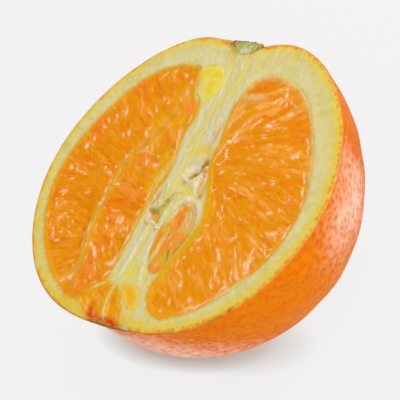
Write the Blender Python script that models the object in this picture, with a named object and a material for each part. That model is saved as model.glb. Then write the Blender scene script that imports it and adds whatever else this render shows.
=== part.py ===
"""Half of a navel orange, cut along its stem axis and lying on its rind, cut face up.

The outside is a surface of revolution about the stem axis. The peel, the core and the
membranes are one solid, with a pocket for every piece of pulp, for the pulp sacs, and for
the stem button. Large segments run straight down through the fruit to the peel; small
sacs are rounded underneath. Lengths below are in millimetres on the cut face: x across the
fruit, y towards the stem, and z = 0 on the face. place_on_floor lifts the lot.
"""

import math

import bmesh
import bpy
from mathutils import Matrix, Vector

MM = 0.001

# Driving dimensions
GAP = 0.3                  # clearance between touching pieces
REST_CUT = 0.5             # height of rind taken off for the flat spot it rests on
DEPTH_RATIO = 0.995        # depth of the half against half its width
STEM_HOLLOW_DEPTH = 4.0
STEM_HOLLOW_ANGLE = 0.24   # radians from the stem axis at which the hollow fades
FLESH_SHIFT = -0.9         # the pith is thinner on the -x side
CUTTER_RISE = 1.5          # how far a cutter stands above the cut face
THROUGH = 42.0             # a depth that passes the underside of the peel

# Radius from the middle of the face at an angle a from the stem: the sum of WAVES[k] cos(k a)
RIND_WAVES = (38.64, 0.43, -1.55, 0.41, -0.35, 0.02, -0.20)
FLESH_WAVES = (32.89, -2.41, -2.23, -0.35, -0.72, -0.61, -0.45)

# Resolution
MERGE = 0.001              # points closer than this are one
RIND_RINGS, RIND_STEPS = 38, 26
FLESH_RINGS, FLESH_STEPS = 26, 36
SPLINE_CUTS = 2            # points added between two outline points
DISH_RINGS = 3

# Outlines on the cut face. Where one leaves the flesh, the flesh surface ends the piece.
LEFT_OUTER = (
    (-10.6, 30.0), (-10.1, 26.0), (-9.5, 23.4), (-9.8, 21.0), (-10.9, 17.0), (-12.4, 12.5),
    (-14.7, 8.0), (-17.6, 4.2), (-19.0, 0.0), (-19.2, -6.0), (-19.3, -11.0), (-18.6, -16.0),
    (-17.2, -21.0), (-16.5, -26.0), (-15.7, -30.0), (-16.5, -34.0), (-30.0, -32.0),
    (-41.0, -15.0), (-43.0, 2.0), (-38.0, 20.0), (-25.0, 33.0), (-13.0, 34.0),
)
LEFT_INNER = (
    (-8.3, 20.4), (-6.2, 19.3), (-5.2, 17.0), (-5.1, 14.5), (-5.6, 11.0), (-5.2, 7.5),
    (-4.5, 4.5), (-4.3, 1.0), (-4.9, -1.5), (-5.9, -5.0), (-6.3, -10.0), (-6.4, -18.0),
    (-6.6, -23.0), (-7.2, -25.6), (-8.6, -26.8), (-10.5, -28.0), (-12.3, -29.0),
    (-13.4, -30.6), (-14.4, -30.6), (-15.1, -27.0), (-15.8, -22.0), (-17.0, -17.0),
    (-17.9, -12.0), (-17.8, -6.0), (-17.5, -1.0), (-16.4, 2.8), (-13.6, 6.6),
    (-11.2, 11.5), (-9.8, 16.0),
)
RIGHT = (
    (6.0, 10.0), (5.4, 13.5), (5.0, 17.5), (5.5, 21.8), (6.9, 24.8), (9.4, 26.6),
    (13.0, 27.6), (24.0, 28.5), (37.0, 16.0), (41.0, 0.0), (38.0, -16.0), (28.0, -28.0),
    (18.0, -31.5), (13.0, -31.0), (10.0, -30.5), (8.2, -29.3), (6.8, -27.3), (6.3, -25.0),
    (7.0, -22.0), (8.4, -18.5), (9.7, -14.5), (11.1, -10.5), (10.9, -7.5), (9.7, -3.2),
    (8.0, 1.0), (6.4, 3.8), (6.0, 6.5),
)
CORE_SAC = (
    (4.5, -5.8), (3.0, -7.2), (2.2, -9.5), (1.4, -12.5), (1.6, -16.0), (2.4, -18.8),
    (3.8, -21.2), (5.2, -21.7), (6.4, -20.8), (7.2, -18.6), (8.3, -15.6), (9.2, -12.5),
    (9.3, -10.0), (8.7, -7.8), (7.3, -6.1), (5.9, -5.4),
)
YELLOW_SAC = (
    (-8.7, 27.2), (-7.0, 28.3), (-5.0, 28.1), (-3.2, 27.0), (-2.2, 24.8), (-2.5, 22.0),
    (-4.0, 20.0), (-5.3, 21.0), (-6.2, 23.0), (-7.8, 24.6),
)
NAVEL_LEFT = (
    (-5.0, -26.6), (-4.5, -27.8), (-4.6, -30.0), (-4.3, -32.0), (-3.9, -33.6),
    (-5.6, -34.2), (-7.6, -33.7), (-9.6, -32.6), (-11.2, -31.4), (-11.6, -30.4),
    (-9.6, -29.3), (-7.8, -28.1), (-6.3, -27.0),
)
NAVEL_RIGHT = (
    (-3.0, -28.0), (-2.2, -27.3), (-1.4, -28.8), (-0.3, -30.3), (0.9, -31.5),
    (1.6, -33.0), (1.7, -34.1), (0.4, -34.5), (-1.2, -34.4), (-2.2, -33.3),
    (-2.8, -31.5), (-3.1, -29.8),
)
NAVEL_SAC = (
    (-1.2, -26.6), (0.5, -25.9), (2.5, -26.2), (4.0, -27.6), (4.6, -29.2),
    (4.2, -30.4), (3.1, -30.6), (2.1, -30.1), (0.9, -29.1), (-0.4, -27.9),
)

# Depth of the sacs that do not run through the fruit
SAC_DEPTHS = {"core": 6.0, "yellow": 5.0, "navel_left": 6.0, "navel_right": 4.5, "navel": 3.5}

# Hollows in the core: middle x and y, length, width, turn in degrees, depth
UPPER_HOLLOW = (3.0, 2.7, 4.8, 3.4, 35.0, 2.4)
LOWER_HOLLOW = (-1.8, -8.8, 3.2, 2.0, -20.0, 1.6)
HOLLOW_SIDES = 16

# Stem button: distance from the stem axis and height along it, from the tip in the pith
BUTTON_PROFILE = ((0.0, 31.7), (1.5, 32.1), (3.3, 33.3), (4.5, 34.2), (4.6, 34.6),
                  (3.9, 35.0), (2.2, 35.2), (0.0, 35.2))
BUTTON_POCKET = ((0.0, 31.4), (1.7, 31.8), (3.6, 33.1), (4.85, 34.0), (4.95, 38.0), (0.0, 38.0))
BUTTON_SIDES = 20

# Navel opening: a shallow eye in the rind just under the cut edge
NAVEL_EYE_PLACE = (2.0, -36.3, -1.6)
NAVEL_EYE_SIZE = (4.6, 1.1, 3.0)


# Colour and roughness of each piece
PITH = (0.72, 0.62, 0.24)
PULP = (0.80, 0.27, 0.02)
SAC = (0.75, 0.55, 0.05)
BUTTON = (0.25, 0.28, 0.10)
LOOKS = {
    "peel_and_core": (PITH, 0.5),
    "pulp_left_outer": (PULP, 0.2),
    "pulp_left_inner": (PULP, 0.2),
    "pulp_right": (PULP, 0.2),
    "pulp_core": (PULP, 0.2),
    "pulp_navel_left": (PULP, 0.25),
    "pulp_navel_right": (PULP, 0.25),
    "sac_navel": (SAC, 0.25),
    "sac_yellow": (SAC, 0.25),
    "stem_button": (BUTTON, 0.8),
}
SHARP_EDGE = math.radians(35.0)


def wave_radius(waves: tuple, angle: float) -> float:
    """Radius at an angle from the stem axis, as a sum of cosines."""
    return sum(size * math.cos(k * angle) for k, size in enumerate(waves))


def rind_radius(angle: float) -> float:
    """Outside radius, with the hollow round the stem."""
    hollow = STEM_HOLLOW_DEPTH * math.exp(-((angle / STEM_HOLLOW_ANGLE) ** 2))
    return wave_radius(RIND_WAVES, angle) - hollow


def flesh_radius(angle: float) -> float:
    """Radius of the inner side of the peel."""
    return wave_radius(FLESH_WAVES, angle)


def new_material(name: str, color: tuple, roughness: float) -> bpy.types.Material:
    """A Principled material with one colour."""
    material = bpy.data.materials.new(name)
    material.use_nodes = True
    shader = material.node_tree.nodes["Principled BSDF"]
    shader.inputs["Base Color"].default_value = (*color, 1.0)
    shader.inputs["Roughness"].default_value = roughness
    shader.inputs["Metallic"].default_value = 0.0
    material.diffuse_color = (*color, 1.0)
    return material


def new_object(name: str, bm: bmesh.types.BMesh) -> bpy.types.Object:
    """Turn a bmesh in millimetres into an object in metres, with its faces pointing out."""
    bmesh.ops.scale(bm, vec=Vector((MM, MM, MM)), verts=bm.verts)
    bmesh.ops.recalc_face_normals(bm, faces=bm.faces)
    mesh = bpy.data.meshes.new(name)
    bm.to_mesh(mesh)
    bm.free()
    obj = bpy.data.objects.new(name, mesh)
    bpy.context.scene.collection.objects.link(obj)
    return obj


def make_cutter(obj: bpy.types.Object) -> bpy.types.Object:
    """Mark an object as a cutter, which is no part of the model."""
    obj.hide_render = True
    obj.display_type = "WIRE"
    return obj


def boolean(obj: bpy.types.Object, other: bpy.types.Object, operation: str) -> None:
    """Add an exact Boolean modifier."""
    modifier = obj.modifiers.new(f"{operation.lower()} {other.name}", "BOOLEAN")
    modifier.operation = operation
    modifier.solver = "EXACT"
    modifier.object = other


def turned(profile: list, steps: int, sweep: float) -> bmesh.types.BMesh:
    """Turn a profile of (distance from the axis, height) about the y axis.

    A half turn starts and ends on the cut face, which is then filled.
    """
    bm = bmesh.new()
    verts = [bm.verts.new((distance, height, 0.0)) for distance, height in profile]
    edges = [bm.edges.new(pair) for pair in zip(verts, verts[1:])]
    bmesh.ops.spin(bm, geom=verts + edges, cent=(0, 0, 0), axis=(0, 1, 0), angle=sweep,
                   steps=steps, use_duplicate=False)
    bmesh.ops.remove_doubles(bm, verts=bm.verts, dist=MERGE)
    rim = [edge for edge in bm.edges if edge.is_boundary]
    if rim:
        bmesh.ops.contextual_create(bm, geom=rim)
    return bm


def smooth_outline(points: tuple) -> list:
    """A closed Catmull-Rom curve through the points."""
    count = len(points)
    curve = []
    for i in range(count):
        before, start, end, after = (Vector(points[(i + k) % count]) for k in (-1, 0, 1, 2))
        for cut in range(SPLINE_CUTS):
            t = cut / SPLINE_CUTS
            curve.append(0.5 * (2 * start + (end - before) * t
                                + (2 * before - 5 * start + 4 * end - after) * t ** 2
                                + (3 * start - before - 3 * end + after) * t ** 3))
    return curve


def is_counterclockwise(curve: list) -> bool:
    """Whether a closed outline runs counterclockwise."""
    pairs = zip(curve, curve[1:] + curve[:1])
    return sum(a.x * b.y - b.x * a.y for a, b in pairs) > 0.0


def widened(curve: list, distance: float) -> list:
    """The outline moved outwards everywhere by a distance."""
    side = 1.0 if is_counterclockwise(curve) else -1.0
    result = []
    for i, point in enumerate(curve):
        along = (curve[(i + 1) % len(curve)] - curve[i - 1]).normalized()
        result.append(point + side * distance * Vector((along.y, -along.x)))
    return result


def prism(curve: list, top: float) -> bmesh.types.BMesh:
    """An outline carried straight down from a height, right through the fruit."""
    bm = bmesh.new()
    face = bm.faces.new([bm.verts.new((point.x, point.y, top)) for point in curve])
    down = bmesh.ops.extrude_face_region(bm, geom=[face])["geom"]
    verts = [item for item in down if isinstance(item, bmesh.types.BMVert)]
    bmesh.ops.translate(bm, verts=verts, vec=(0.0, 0.0, -top - THROUGH))
    return bm


def dish(curve: list, depth: float, top: float) -> bmesh.types.BMesh:
    """An outline with a rounded underside, for a sac; the rings close to a point."""
    middle = sum(curve, Vector((0.0, 0.0))) / len(curve)
    levels = [(1.0, top)] if top > 0.0 else []
    for ring in range(DISH_RINGS):
        turn = math.pi / 2 * ring / DISH_RINGS
        levels.append((math.cos(turn), -depth * math.sin(turn)))
    bm = bmesh.new()
    rings = []
    for scale, height in levels:
        places = [middle + (point - middle) * scale for point in curve]
        rings.append([bm.verts.new((place.x, place.y, height)) for place in places])
    tip = bm.verts.new((middle.x, middle.y, -depth))
    count = len(curve)
    bm.faces.new(rings[0])
    for upper, lower in zip(rings, rings[1:]):
        for i in range(count):
            j = (i + 1) % count
            bm.faces.new((upper[i], upper[j], lower[j], lower[i]))
    for i in range(count):
        bm.faces.new((rings[-1][i], rings[-1][(i + 1) % count], tip))
    return bm


def ellipse(length: float, width: float, turn: float, x: float, y: float) -> list:
    """A turned ellipse as an outline."""
    angle = math.radians(turn)
    points = []
    for i in range(HOLLOW_SIDES):
        a = 2 * math.pi * i / HOLLOW_SIDES
        along, across = length / 2 * math.cos(a), width / 2 * math.sin(a)
        points.append(Vector((x + along * math.cos(angle) - across * math.sin(angle),
                              y + along * math.sin(angle) + across * math.cos(angle))))
    return points


def round_profile(radius_at, rings: int, extra: float) -> list:
    """Profile of a round body from pole to pole, widened by an extra distance."""
    profile = []
    for i in range(rings + 1):
        angle = math.pi * i / rings
        radius = radius_at(angle) + extra
        profile.append((radius * math.sin(angle), radius * math.cos(angle)))
    return profile


def make_half() -> bpy.types.Object:
    """The whole half before its pockets are cut, with a flat spot to rest on."""
    bm = turned(round_profile(rind_radius, RIND_RINGS, 0.0), RIND_STEPS, math.pi)
    bmesh.ops.scale(bm, vec=Vector((1.0, 1.0, DEPTH_RATIO)), verts=bm.verts)
    floor = min(vert.co.z for vert in bm.verts) + REST_CUT
    bmesh.ops.bisect_plane(bm, geom=bm.verts[:] + bm.edges[:] + bm.faces[:], dist=MERGE,
                           plane_co=(0.0, 0.0, floor), plane_no=(0.0, 0.0, -1.0),
                           clear_outer=True)
    rim = [edge for edge in bm.edges if edge.is_boundary]
    bmesh.ops.contextual_create(bm, geom=rim)
    return new_object("peel_and_core", bm)


def make_flesh(name: str, extra: float) -> bpy.types.Object:
    """The round inside of the peel, which ends the large pieces of pulp."""
    bm = turned(round_profile(flesh_radius, FLESH_RINGS, extra), FLESH_STEPS, 2 * math.pi)
    bmesh.ops.translate(bm, verts=bm.verts, vec=(FLESH_SHIFT, 0.0, 0.0))
    return make_cutter(new_object(name, bm))


def make_segment(name: str, outline: tuple, flesh, pocket_flesh) -> tuple:
    """A segment that runs through to the peel, and the cutter of its pocket."""
    curve = smooth_outline(outline)
    piece = new_object(name, prism(curve, 0.0))
    boolean(piece, flesh, "INTERSECT")
    pocket = make_cutter(new_object(f"{name}_pocket", prism(widened(curve, GAP), CUTTER_RISE)))
    boolean(pocket, pocket_flesh, "INTERSECT")
    return piece, pocket


def make_sac(name: str, outline: tuple, depth: float) -> tuple:
    """A sac with a rounded underside, and the cutter of its pocket."""
    curve = smooth_outline(outline)
    piece = new_object(name, dish(curve, depth, 0.0))
    pocket = new_object(f"{name}_pocket", dish(widened(curve, GAP), depth + GAP, CUTTER_RISE))
    return piece, make_cutter(pocket)


def make_hollow(name: str, x: float, y: float, length: float, width: float, turn: float,
                depth: float) -> bpy.types.Object:
    """The cutter of an open hollow in the core."""
    curve = ellipse(length, width, turn, x, y)
    return make_cutter(new_object(name, dish(curve, depth, CUTTER_RISE)))


def make_button() -> tuple:
    """The halved stem button and the cutter of the seat it sits in."""
    bm = turned(list(BUTTON_PROFILE), BUTTON_SIDES // 2, math.pi)
    button = new_object("stem_button", bm)
    seat = turned(list(BUTTON_POCKET), BUTTON_SIDES, 2 * math.pi)
    return button, make_cutter(new_object("stem_button_seat", seat))


def make_navel_eye() -> bpy.types.Object:
    """The cutter of the shallow navel opening."""
    bm = bmesh.new()
    place = Matrix.Translation(NAVEL_EYE_PLACE) @ Matrix.Diagonal((*NAVEL_EYE_SIZE, 1.0))
    bmesh.ops.create_icosphere(bm, subdivisions=2, radius=1.0, matrix=place)
    return make_cutter(new_object("navel_eye", bm))


def face_place() -> Vector:
    """Where the middle of the cut face goes, so that the box stands on the origin."""
    samples = [math.pi * i / RIND_RINGS for i in range(RIND_RINGS + 1)]
    heights = [rind_radius(angle) * math.cos(angle) for angle in samples]
    half_width = max(rind_radius(angle) * math.sin(angle) for angle in samples)
    lift = half_width * DEPTH_RATIO - REST_CUT
    return Vector((0.0, -(max(heights) + min(heights)) / 2, lift)) * MM


def place_on_floor() -> None:
    """Move every object so that the rest spot lies on the floor at the origin."""
    for obj in bpy.context.scene.objects:
        obj.location = face_place()


def dress(pieces: list) -> None:
    """Give each piece its own material and smooth shading."""
    for piece in pieces:
        color, roughness = LOOKS[piece.name]
        piece.data.materials.append(new_material(f"{piece.name}_material", color, roughness))
        piece.data.shade_smooth()
        piece.data.set_sharp_from_angle(angle=SHARP_EDGE)


def main() -> None:
    """Build the half orange."""
    for obj in list(bpy.data.objects):
        bpy.data.objects.remove(obj, do_unlink=True)
    half = make_half()
    flesh = make_flesh("flesh", 0.0)
    pocket_flesh = make_flesh("flesh_pocket", GAP)
    made = [
        make_segment("pulp_left_outer", LEFT_OUTER, flesh, pocket_flesh),
        make_segment("pulp_left_inner", LEFT_INNER, flesh, pocket_flesh),
        make_segment("pulp_right", RIGHT, flesh, pocket_flesh),
        make_sac("pulp_core", CORE_SAC, SAC_DEPTHS["core"]),
        make_sac("sac_yellow", YELLOW_SAC, SAC_DEPTHS["yellow"]),
        make_sac("pulp_navel_left", NAVEL_LEFT, SAC_DEPTHS["navel_left"]),
        make_sac("pulp_navel_right", NAVEL_RIGHT, SAC_DEPTHS["navel_right"]),
        make_sac("sac_navel", NAVEL_SAC, SAC_DEPTHS["navel"]),
        make_button(),
    ]
    cutters = [pocket for _, pocket in made]
    cutters += [make_hollow("upper_hollow", *UPPER_HOLLOW),
                make_hollow("lower_hollow", *LOWER_HOLLOW), make_navel_eye()]
    for cutter in cutters:
        boolean(half, cutter, "DIFFERENCE")
    dress([half] + [piece for piece, _ in made])
    place_on_floor()


main()
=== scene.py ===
"""Dress a halved navel orange: rind, pith, core, pulp, sacs and stem button.

The cut face lies level, facing up. All shapes on it are worked out in millimetres on the
face: x across the fruit, y towards the stem, z = 0 at the knife's plane and negative into
the fruit. Pieces are then placed in metres in the frame of the CAD model.
"""

import logging
import math
from dataclasses import dataclass, field
from enum import Enum

import bpy
import numpy as np
from mathutils import Matrix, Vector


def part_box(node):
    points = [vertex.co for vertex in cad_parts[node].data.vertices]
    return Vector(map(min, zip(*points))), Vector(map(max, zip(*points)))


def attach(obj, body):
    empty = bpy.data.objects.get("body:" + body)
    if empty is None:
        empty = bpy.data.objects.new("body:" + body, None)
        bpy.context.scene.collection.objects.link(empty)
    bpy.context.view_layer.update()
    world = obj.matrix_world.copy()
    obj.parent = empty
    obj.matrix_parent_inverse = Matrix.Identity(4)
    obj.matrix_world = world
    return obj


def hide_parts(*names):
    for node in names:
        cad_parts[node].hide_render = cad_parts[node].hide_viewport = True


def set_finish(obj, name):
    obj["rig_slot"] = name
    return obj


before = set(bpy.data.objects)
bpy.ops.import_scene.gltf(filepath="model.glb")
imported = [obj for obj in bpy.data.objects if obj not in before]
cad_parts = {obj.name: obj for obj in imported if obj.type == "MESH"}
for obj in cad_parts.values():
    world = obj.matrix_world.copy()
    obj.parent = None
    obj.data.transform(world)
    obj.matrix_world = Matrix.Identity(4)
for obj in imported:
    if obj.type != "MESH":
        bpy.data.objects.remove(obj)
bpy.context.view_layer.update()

LOG = logging.getLogger("orange_half")
MM = 0.001
TURN = 2.0 * math.pi
BODY = "root"
ON_FACE = 0.01  # a solid's points within this of the cut plane lie on it
RADII = 720  # radii that an outline is read at
SHRINK = 0.9985  # size of the peel's surfaces against the plan, to stay inside the solid
FAR_OUT = 3.0  # distance outside an outline beyond which it no longer matters

Array = np.ndarray
Point = tuple[float, float]
Mark = tuple[float, float, float, float, float]
Triple = tuple[float, float, float]


class Slot(Enum):
    """Material slots of the record."""

    RIND = "rind"
    PITH = "pith"
    PULP = "pulp"
    SAC = "sac"
    BUTTON = "button"


class Hue(Enum):
    """Colours of the fruit, as 8-bit display values."""

    ZEST = (232, 126, 0)
    ZEST_DEEP = (224, 98, 2)
    GLAND = (224, 138, 18)
    ALBEDO_YELLOW = (220, 194, 62)
    PITH = (208, 191, 112)
    PITH_GREEN = (203, 194, 112)
    PITH_PALE = (211, 206, 160)
    GOLD = (230, 168, 30)
    MAROON = (190, 48, 2)
    CORAL = (232, 134, 54)
    CORE_EDGE = (206, 164, 14)
    ORANGE_SPOT = (224, 124, 8)
    PITH_WHITE = (214, 201, 134)
    FIBRE_YELLOW = (218, 204, 92)
    YELLOW = (222, 199, 66)
    YELLOW_DEEP = (212, 188, 34)
    BEIGE = (212, 196, 148)
    GREY = (202, 198, 176)
    WHITE = (228, 226, 212)
    OLIVE = (160, 146, 44)
    BROWN = (160, 92, 24)
    UMBER = (188, 132, 40)
    DARK_BROWN = (112, 58, 16)
    TAN = (214, 158, 76)
    AMBER = (224, 158, 14)
    PULP_DEEP = (217, 122, 0)
    PULP = (221, 137, 4)
    PULP_LIGHT = (231, 152, 58)
    PULP_RED = (228, 112, 10)
    # Painted highlight colour: the salmon of glints and pale streaks on the pulp.
    SALMON_HIGHLIGHT = (250, 198, 150)
    # Painted highlight colour: pink glints on the pulp and the navel.
    PINK_HIGHLIGHT = (244, 128, 96)
    RED = (210, 26, 0)
    OCHRE = (214, 160, 26)
    CREAM = (222, 214, 150)
    PEACH = (242, 176, 96)
    LILAC = (212, 204, 190)
    RUST = (196, 98, 24)
    # Painted glint: the bright core of a salmon highlight.
    GLINT = (255, 224, 190)
    SAGE = (164, 168, 82)
    DARK_OLIVE = (134, 112, 30)
    HONEY = (206, 166, 56)
    GREEN = (112, 126, 52)
    DARK_GREEN = (66, 84, 40)


def linear(hue: Hue) -> Array:
    """Turn a display colour into a scene-linear one.

    Args:
        hue: The named colour.

    Returns:
        Three linear values.
    """
    value = np.array(hue.value, float) / 255.0
    return np.where(value <= 0.04045, value / 12.92, ((value + 0.055) / 1.055) ** 2.4)


# Arrays ---------------------------------------------------------------------------------


def smooth(low: float, high: float, value: Array) -> Array:
    """Ease from 0 at low to 1 at high: 3 t squared minus 2 t cubed."""
    t = np.clip((value - low) / (high - low), 0.0, 1.0)
    return t * t * (3.0 - 2.0 * t)


def fall(low: float, high: float, value: Array) -> Array:
    """Ease from 1 at low to 0 at high."""
    return 1.0 - smooth(low, high, value)


def bell(value: Array, width: float) -> Array:
    """A bell curve of height 1: e to the minus (value / width) squared."""
    return np.exp(-((value / width) ** 2))


def scatter(i: Array, j: Array, seed: int) -> Array:
    """A fixed pseudo-random number from 0 to 1 for each pair of whole numbers.

    Args:
        i: First whole number.
        j: Second whole number.
        seed: Which set of numbers.

    Returns:
        The numbers, by integer multiplication and folding of high bits.
    """
    mask = 0xFFFFFFFF
    n = (i.astype(np.int64) * 374761393 + j.astype(np.int64) * 668265263 + seed * 974634777) & mask
    n = ((n ^ (n >> 13)) * 1274126177) & mask
    n = ((n ^ (n >> 15)) * 2246822519) & mask
    return ((n ^ (n >> 16)) & 0xFFFFFF) / float(0xFFFFFF)


def noise(x: Array, y: Array, seed: int) -> Array:
    """Smooth noise from -1 to 1, one wave to a unit: corner numbers blended by eased t."""
    i, j = np.floor(x), np.floor(y)
    u, v = smooth(0.0, 1.0, x - i), smooth(0.0, 1.0, y - j)
    low = scatter(i, j, seed) * (1 - u) + scatter(i + 1, j, seed) * u
    high = scatter(i, j + 1, seed) * (1 - u) + scatter(i + 1, j + 1, seed) * u
    return 2.0 * (low * (1 - v) + high * v) - 1.0


def rough_noise(x: Array, y: Array, seed: int) -> Array:
    """Three layers of noise, each with half the height and twice the frequency of the last."""
    total = np.zeros_like(x)
    for layer in range(3):
        total += noise(x * 2.0**layer + 7.3 * layer, y * 2.0**layer, seed + layer) / 2.0**layer
    return total / 1.6


def rounded_curve(points: tuple[Point, ...], closed: bool, cuts: int) -> Array:
    """A Catmull-Rom curve through points.

    Args:
        points: The points.
        closed: Whether the last joins the first.
        cuts: Steps between two points.

    Returns:
        The curve's points, one row each.
    """
    p = np.array(points, float)
    p = np.vstack([p[-1:], p, p[:2]]) if closed else np.vstack([p[:1], p, p[-1:]])
    t = (np.arange(cuts) / cuts)[None, :, None]
    a, b, c, d = (p[k : len(p) - 3 + k, None, :] for k in range(4))
    square, cube = 2 * a - 5 * b + 4 * c - d, 3 * b - a - 3 * c + d
    curve = 0.5 * (2 * b + (c - a) * t + square * t**2 + cube * t**3)
    curve = curve.reshape(-1, p.shape[1])
    return curve if closed else np.vstack([curve, p[-1:]])


def square_in_disc(cells: int) -> tuple[Array, Array]:
    """Map a square grid to a disc, rings of squares becoming circles.

    The ring is the larger of |u| and |v|; the angle is an eighth turn times the smaller
    over the larger, measured from the side that the point is on.

    Args:
        cells: Grid cells from the middle to a side.

    Returns:
        Distance from the middle, 0 to 1, and angle from +x, as square arrays.
    """
    side = np.linspace(-1.0, 1.0, 2 * cells + 1)
    u, v = np.meshgrid(side, side)
    wide = np.abs(u) > np.abs(v)
    major, minor = np.where(wide, u, v), np.where(wide, v, u)
    ratio = np.divide(minor, major, out=np.zeros_like(minor), where=major != 0.0)
    angle = np.where(wide, ratio * math.pi / 4, math.pi / 2 - ratio * math.pi / 4)
    return np.abs(major), angle + np.where(major < 0.0, math.pi, 0.0)


def grid_quads(rows: int, columns: int) -> Array:
    """Corner numbers of a grid's quads, counterclockwise with columns along x, rows along y."""
    corner = np.arange(rows * columns).reshape(rows, columns)
    sides = corner[:-1, :-1], corner[:-1, 1:], corner[1:, 1:], corner[1:, :-1]
    return np.stack([side.ravel() for side in sides], axis=1)


def ring_of_square(cells: int) -> Array:
    """Corner numbers of the outermost ring of a square grid, counterclockwise."""
    n = 2 * cells + 1
    corner = np.arange(n * n).reshape(n, n)
    return np.concatenate([corner[0, :-1], corner[:-1, -1], corner[-1, :0:-1], corner[:0:-1, 0]])


# The fruit's plan -----------------------------------------------------------------------


@dataclass(frozen=True)
class Plan:
    """The fruit's outline, as in the CAD source, and where its cut face lies.

    Radii are sums of cosines of the angle from the stem, less a bell-shaped stem hollow.

    Attributes:
        waves: Size of each cosine, from the constant one on.
        hollow_depth: Depth of the stem hollow.
        hollow_angle: Width of its bell, in radians.
        lip_height: Rise of the rim at the left of the stem hollow.
        lip_angle: Where it is, in radians from the stem.
        lip_width: Width of its bell, in radians.
        depth_ratio: Depth of the half fruit over its radius.
        face_height: Height of the cut face in the frame.
    """

    waves: tuple[float, ...] = (38.64, 0.43, -1.55, 0.41, -0.35, 0.02, -0.20)
    hollow_depth: float = 4.0
    hollow_angle: float = 0.24
    lip_height: float = 0.6
    lip_angle: float = -0.15
    lip_width: float = 0.05
    depth_ratio: float = 0.995
    face_height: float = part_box("peel_and_core")[1].z / MM

    def radius(self, angle: Array) -> Array:
        """Outside radius at an angle from the stem, in radians."""
        angle = np.abs((angle + math.pi) % TURN - math.pi)
        total = sum(size * np.cos(k * angle) for k, size in enumerate(self.waves))
        return total - self.hollow_depth * bell(angle, self.hollow_angle)

    def lip(self, angle: Array) -> Array:
        """Rise of the rim by its lip, at a signed angle from the stem."""
        return self.lip_height * bell(angle - self.lip_angle, self.lip_width)

    def outside(self, angle: Array) -> Array:
        """Radius of the rim with its lip, at a signed angle from the stem."""
        return self.radius(angle) + self.lip(angle)

    def middle_y(self) -> float:
        """How far the face's middle lies from the frame's axis."""
        angle = np.linspace(0.0, math.pi, 39)
        height = self.radius(angle) * np.cos(angle)
        return -(height.max() + height.min()) / 2.0

    def rim_distance(self, x: Array, y: Array) -> Array:
        """Distance inwards from the rim, radius left over times the cosine of its slope."""
        angle, step = np.arctan2(x, y), 0.01
        low, radius, high = (self.outside(angle + turn) for turn in (-step, 0.0, step))
        slope = (high - low) / (2.0 * step) / radius
        return (radius - np.hypot(x, y)) / np.sqrt(1.0 + slope**2)

    def placed(self, x: Array, y: Array, z: Array) -> Array:
        """Points on the face, in millimetres, as points of the frame, in metres."""
        columns = [x.ravel(), y.ravel() + self.middle_y(), z.ravel() + self.face_height]
        return np.stack(columns, axis=1) * MM


PLAN = Plan()


@dataclass
class Outline:
    """A closed outline on the face: its curve, and radii about a middle inside it."""

    middle: Array
    curve: Array
    radii: Array

    @classmethod
    def of_node(cls, node: str, middle: Point) -> "Outline":
        """Read the outline of a CAD solid where it meets the cut face.

        Args:
            node: The CAD node.
            middle: A point inside from which the whole outline is seen.

        Returns:
            The outline, rounded, with its radii by periodic interpolation over the angle.
        """
        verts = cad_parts[node].data.vertices
        points = np.empty(len(verts) * 3)
        verts.foreach_get("co", points)
        points = points.reshape(-1, 3) / MM
        top = points[points[:, 2] > PLAN.face_height - ON_FACE, :2]
        top = np.unique(top.round(3), axis=0) - [0.0, PLAN.middle_y()]
        offset = top - np.array(middle)
        offset = offset[np.argsort(np.arctan2(offset[:, 1], offset[:, 0]))]
        curve = rounded_curve(tuple(map(tuple, offset)), True, 3)
        angle = np.arctan2(curve[:, 1], curve[:, 0]) % TURN
        order = np.argsort(angle)
        steps = np.linspace(0.0, TURN, RADII, endpoint=False)
        radii = np.interp(steps, angle[order], np.hypot(*curve.T)[order], period=TURN)
        return cls(np.array(middle), curve + np.array(middle), radii)

    def radius(self, angle: Array) -> Array:
        """Radius at an angle from +x about the middle."""
        steps = np.linspace(0.0, TURN, RADII, endpoint=False)
        return np.interp(angle % TURN, steps, self.radii, period=TURN)

    def inside(self, x: Array, y: Array) -> Array:
        """Signed distance inwards from the outline.

        The distance is the least over the curve's edges; the sign comes from how many
        edges a ray to the right crosses. Places far outside are left at FAR_OUT from it.

        Args:
            x: Across the fruit.
            y: Towards the stem.

        Returns:
            The distance, positive inside.
        """
        low, high = self.curve.min(axis=0) - FAR_OUT, self.curve.max(axis=0) + FAR_OUT
        near = (x > low[0]) & (x < high[0]) & (y > low[1]) & (y < high[1])
        px, py = x[near], y[near]
        least, odd = np.full_like(px, np.inf), np.zeros(px.shape, bool)
        for (ax, ay), (bx, by) in zip(self.curve, np.roll(self.curve, -1, axis=0)):
            ex, ey = bx - ax, by - ay
            t = np.clip(((px - ax) * ex + (py - ay) * ey) / max(ex * ex + ey * ey, 1e-12), 0.0, 1.0)
            np.minimum(least, (px - ax - ex * t) ** 2 + (py - ay - ey * t) ** 2, out=least)
            if ay != by:
                odd ^= ((ay > py) != (by > py)) & (px < ax + (py - ay) * ex / ey)
        result = np.full_like(x, -FAR_OUT)
        result[near] = np.maximum(np.sqrt(least) * np.where(odd, 1.0, -1.0), -FAR_OUT)
        return result


# Painting on the face -------------------------------------------------------------------


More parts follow.
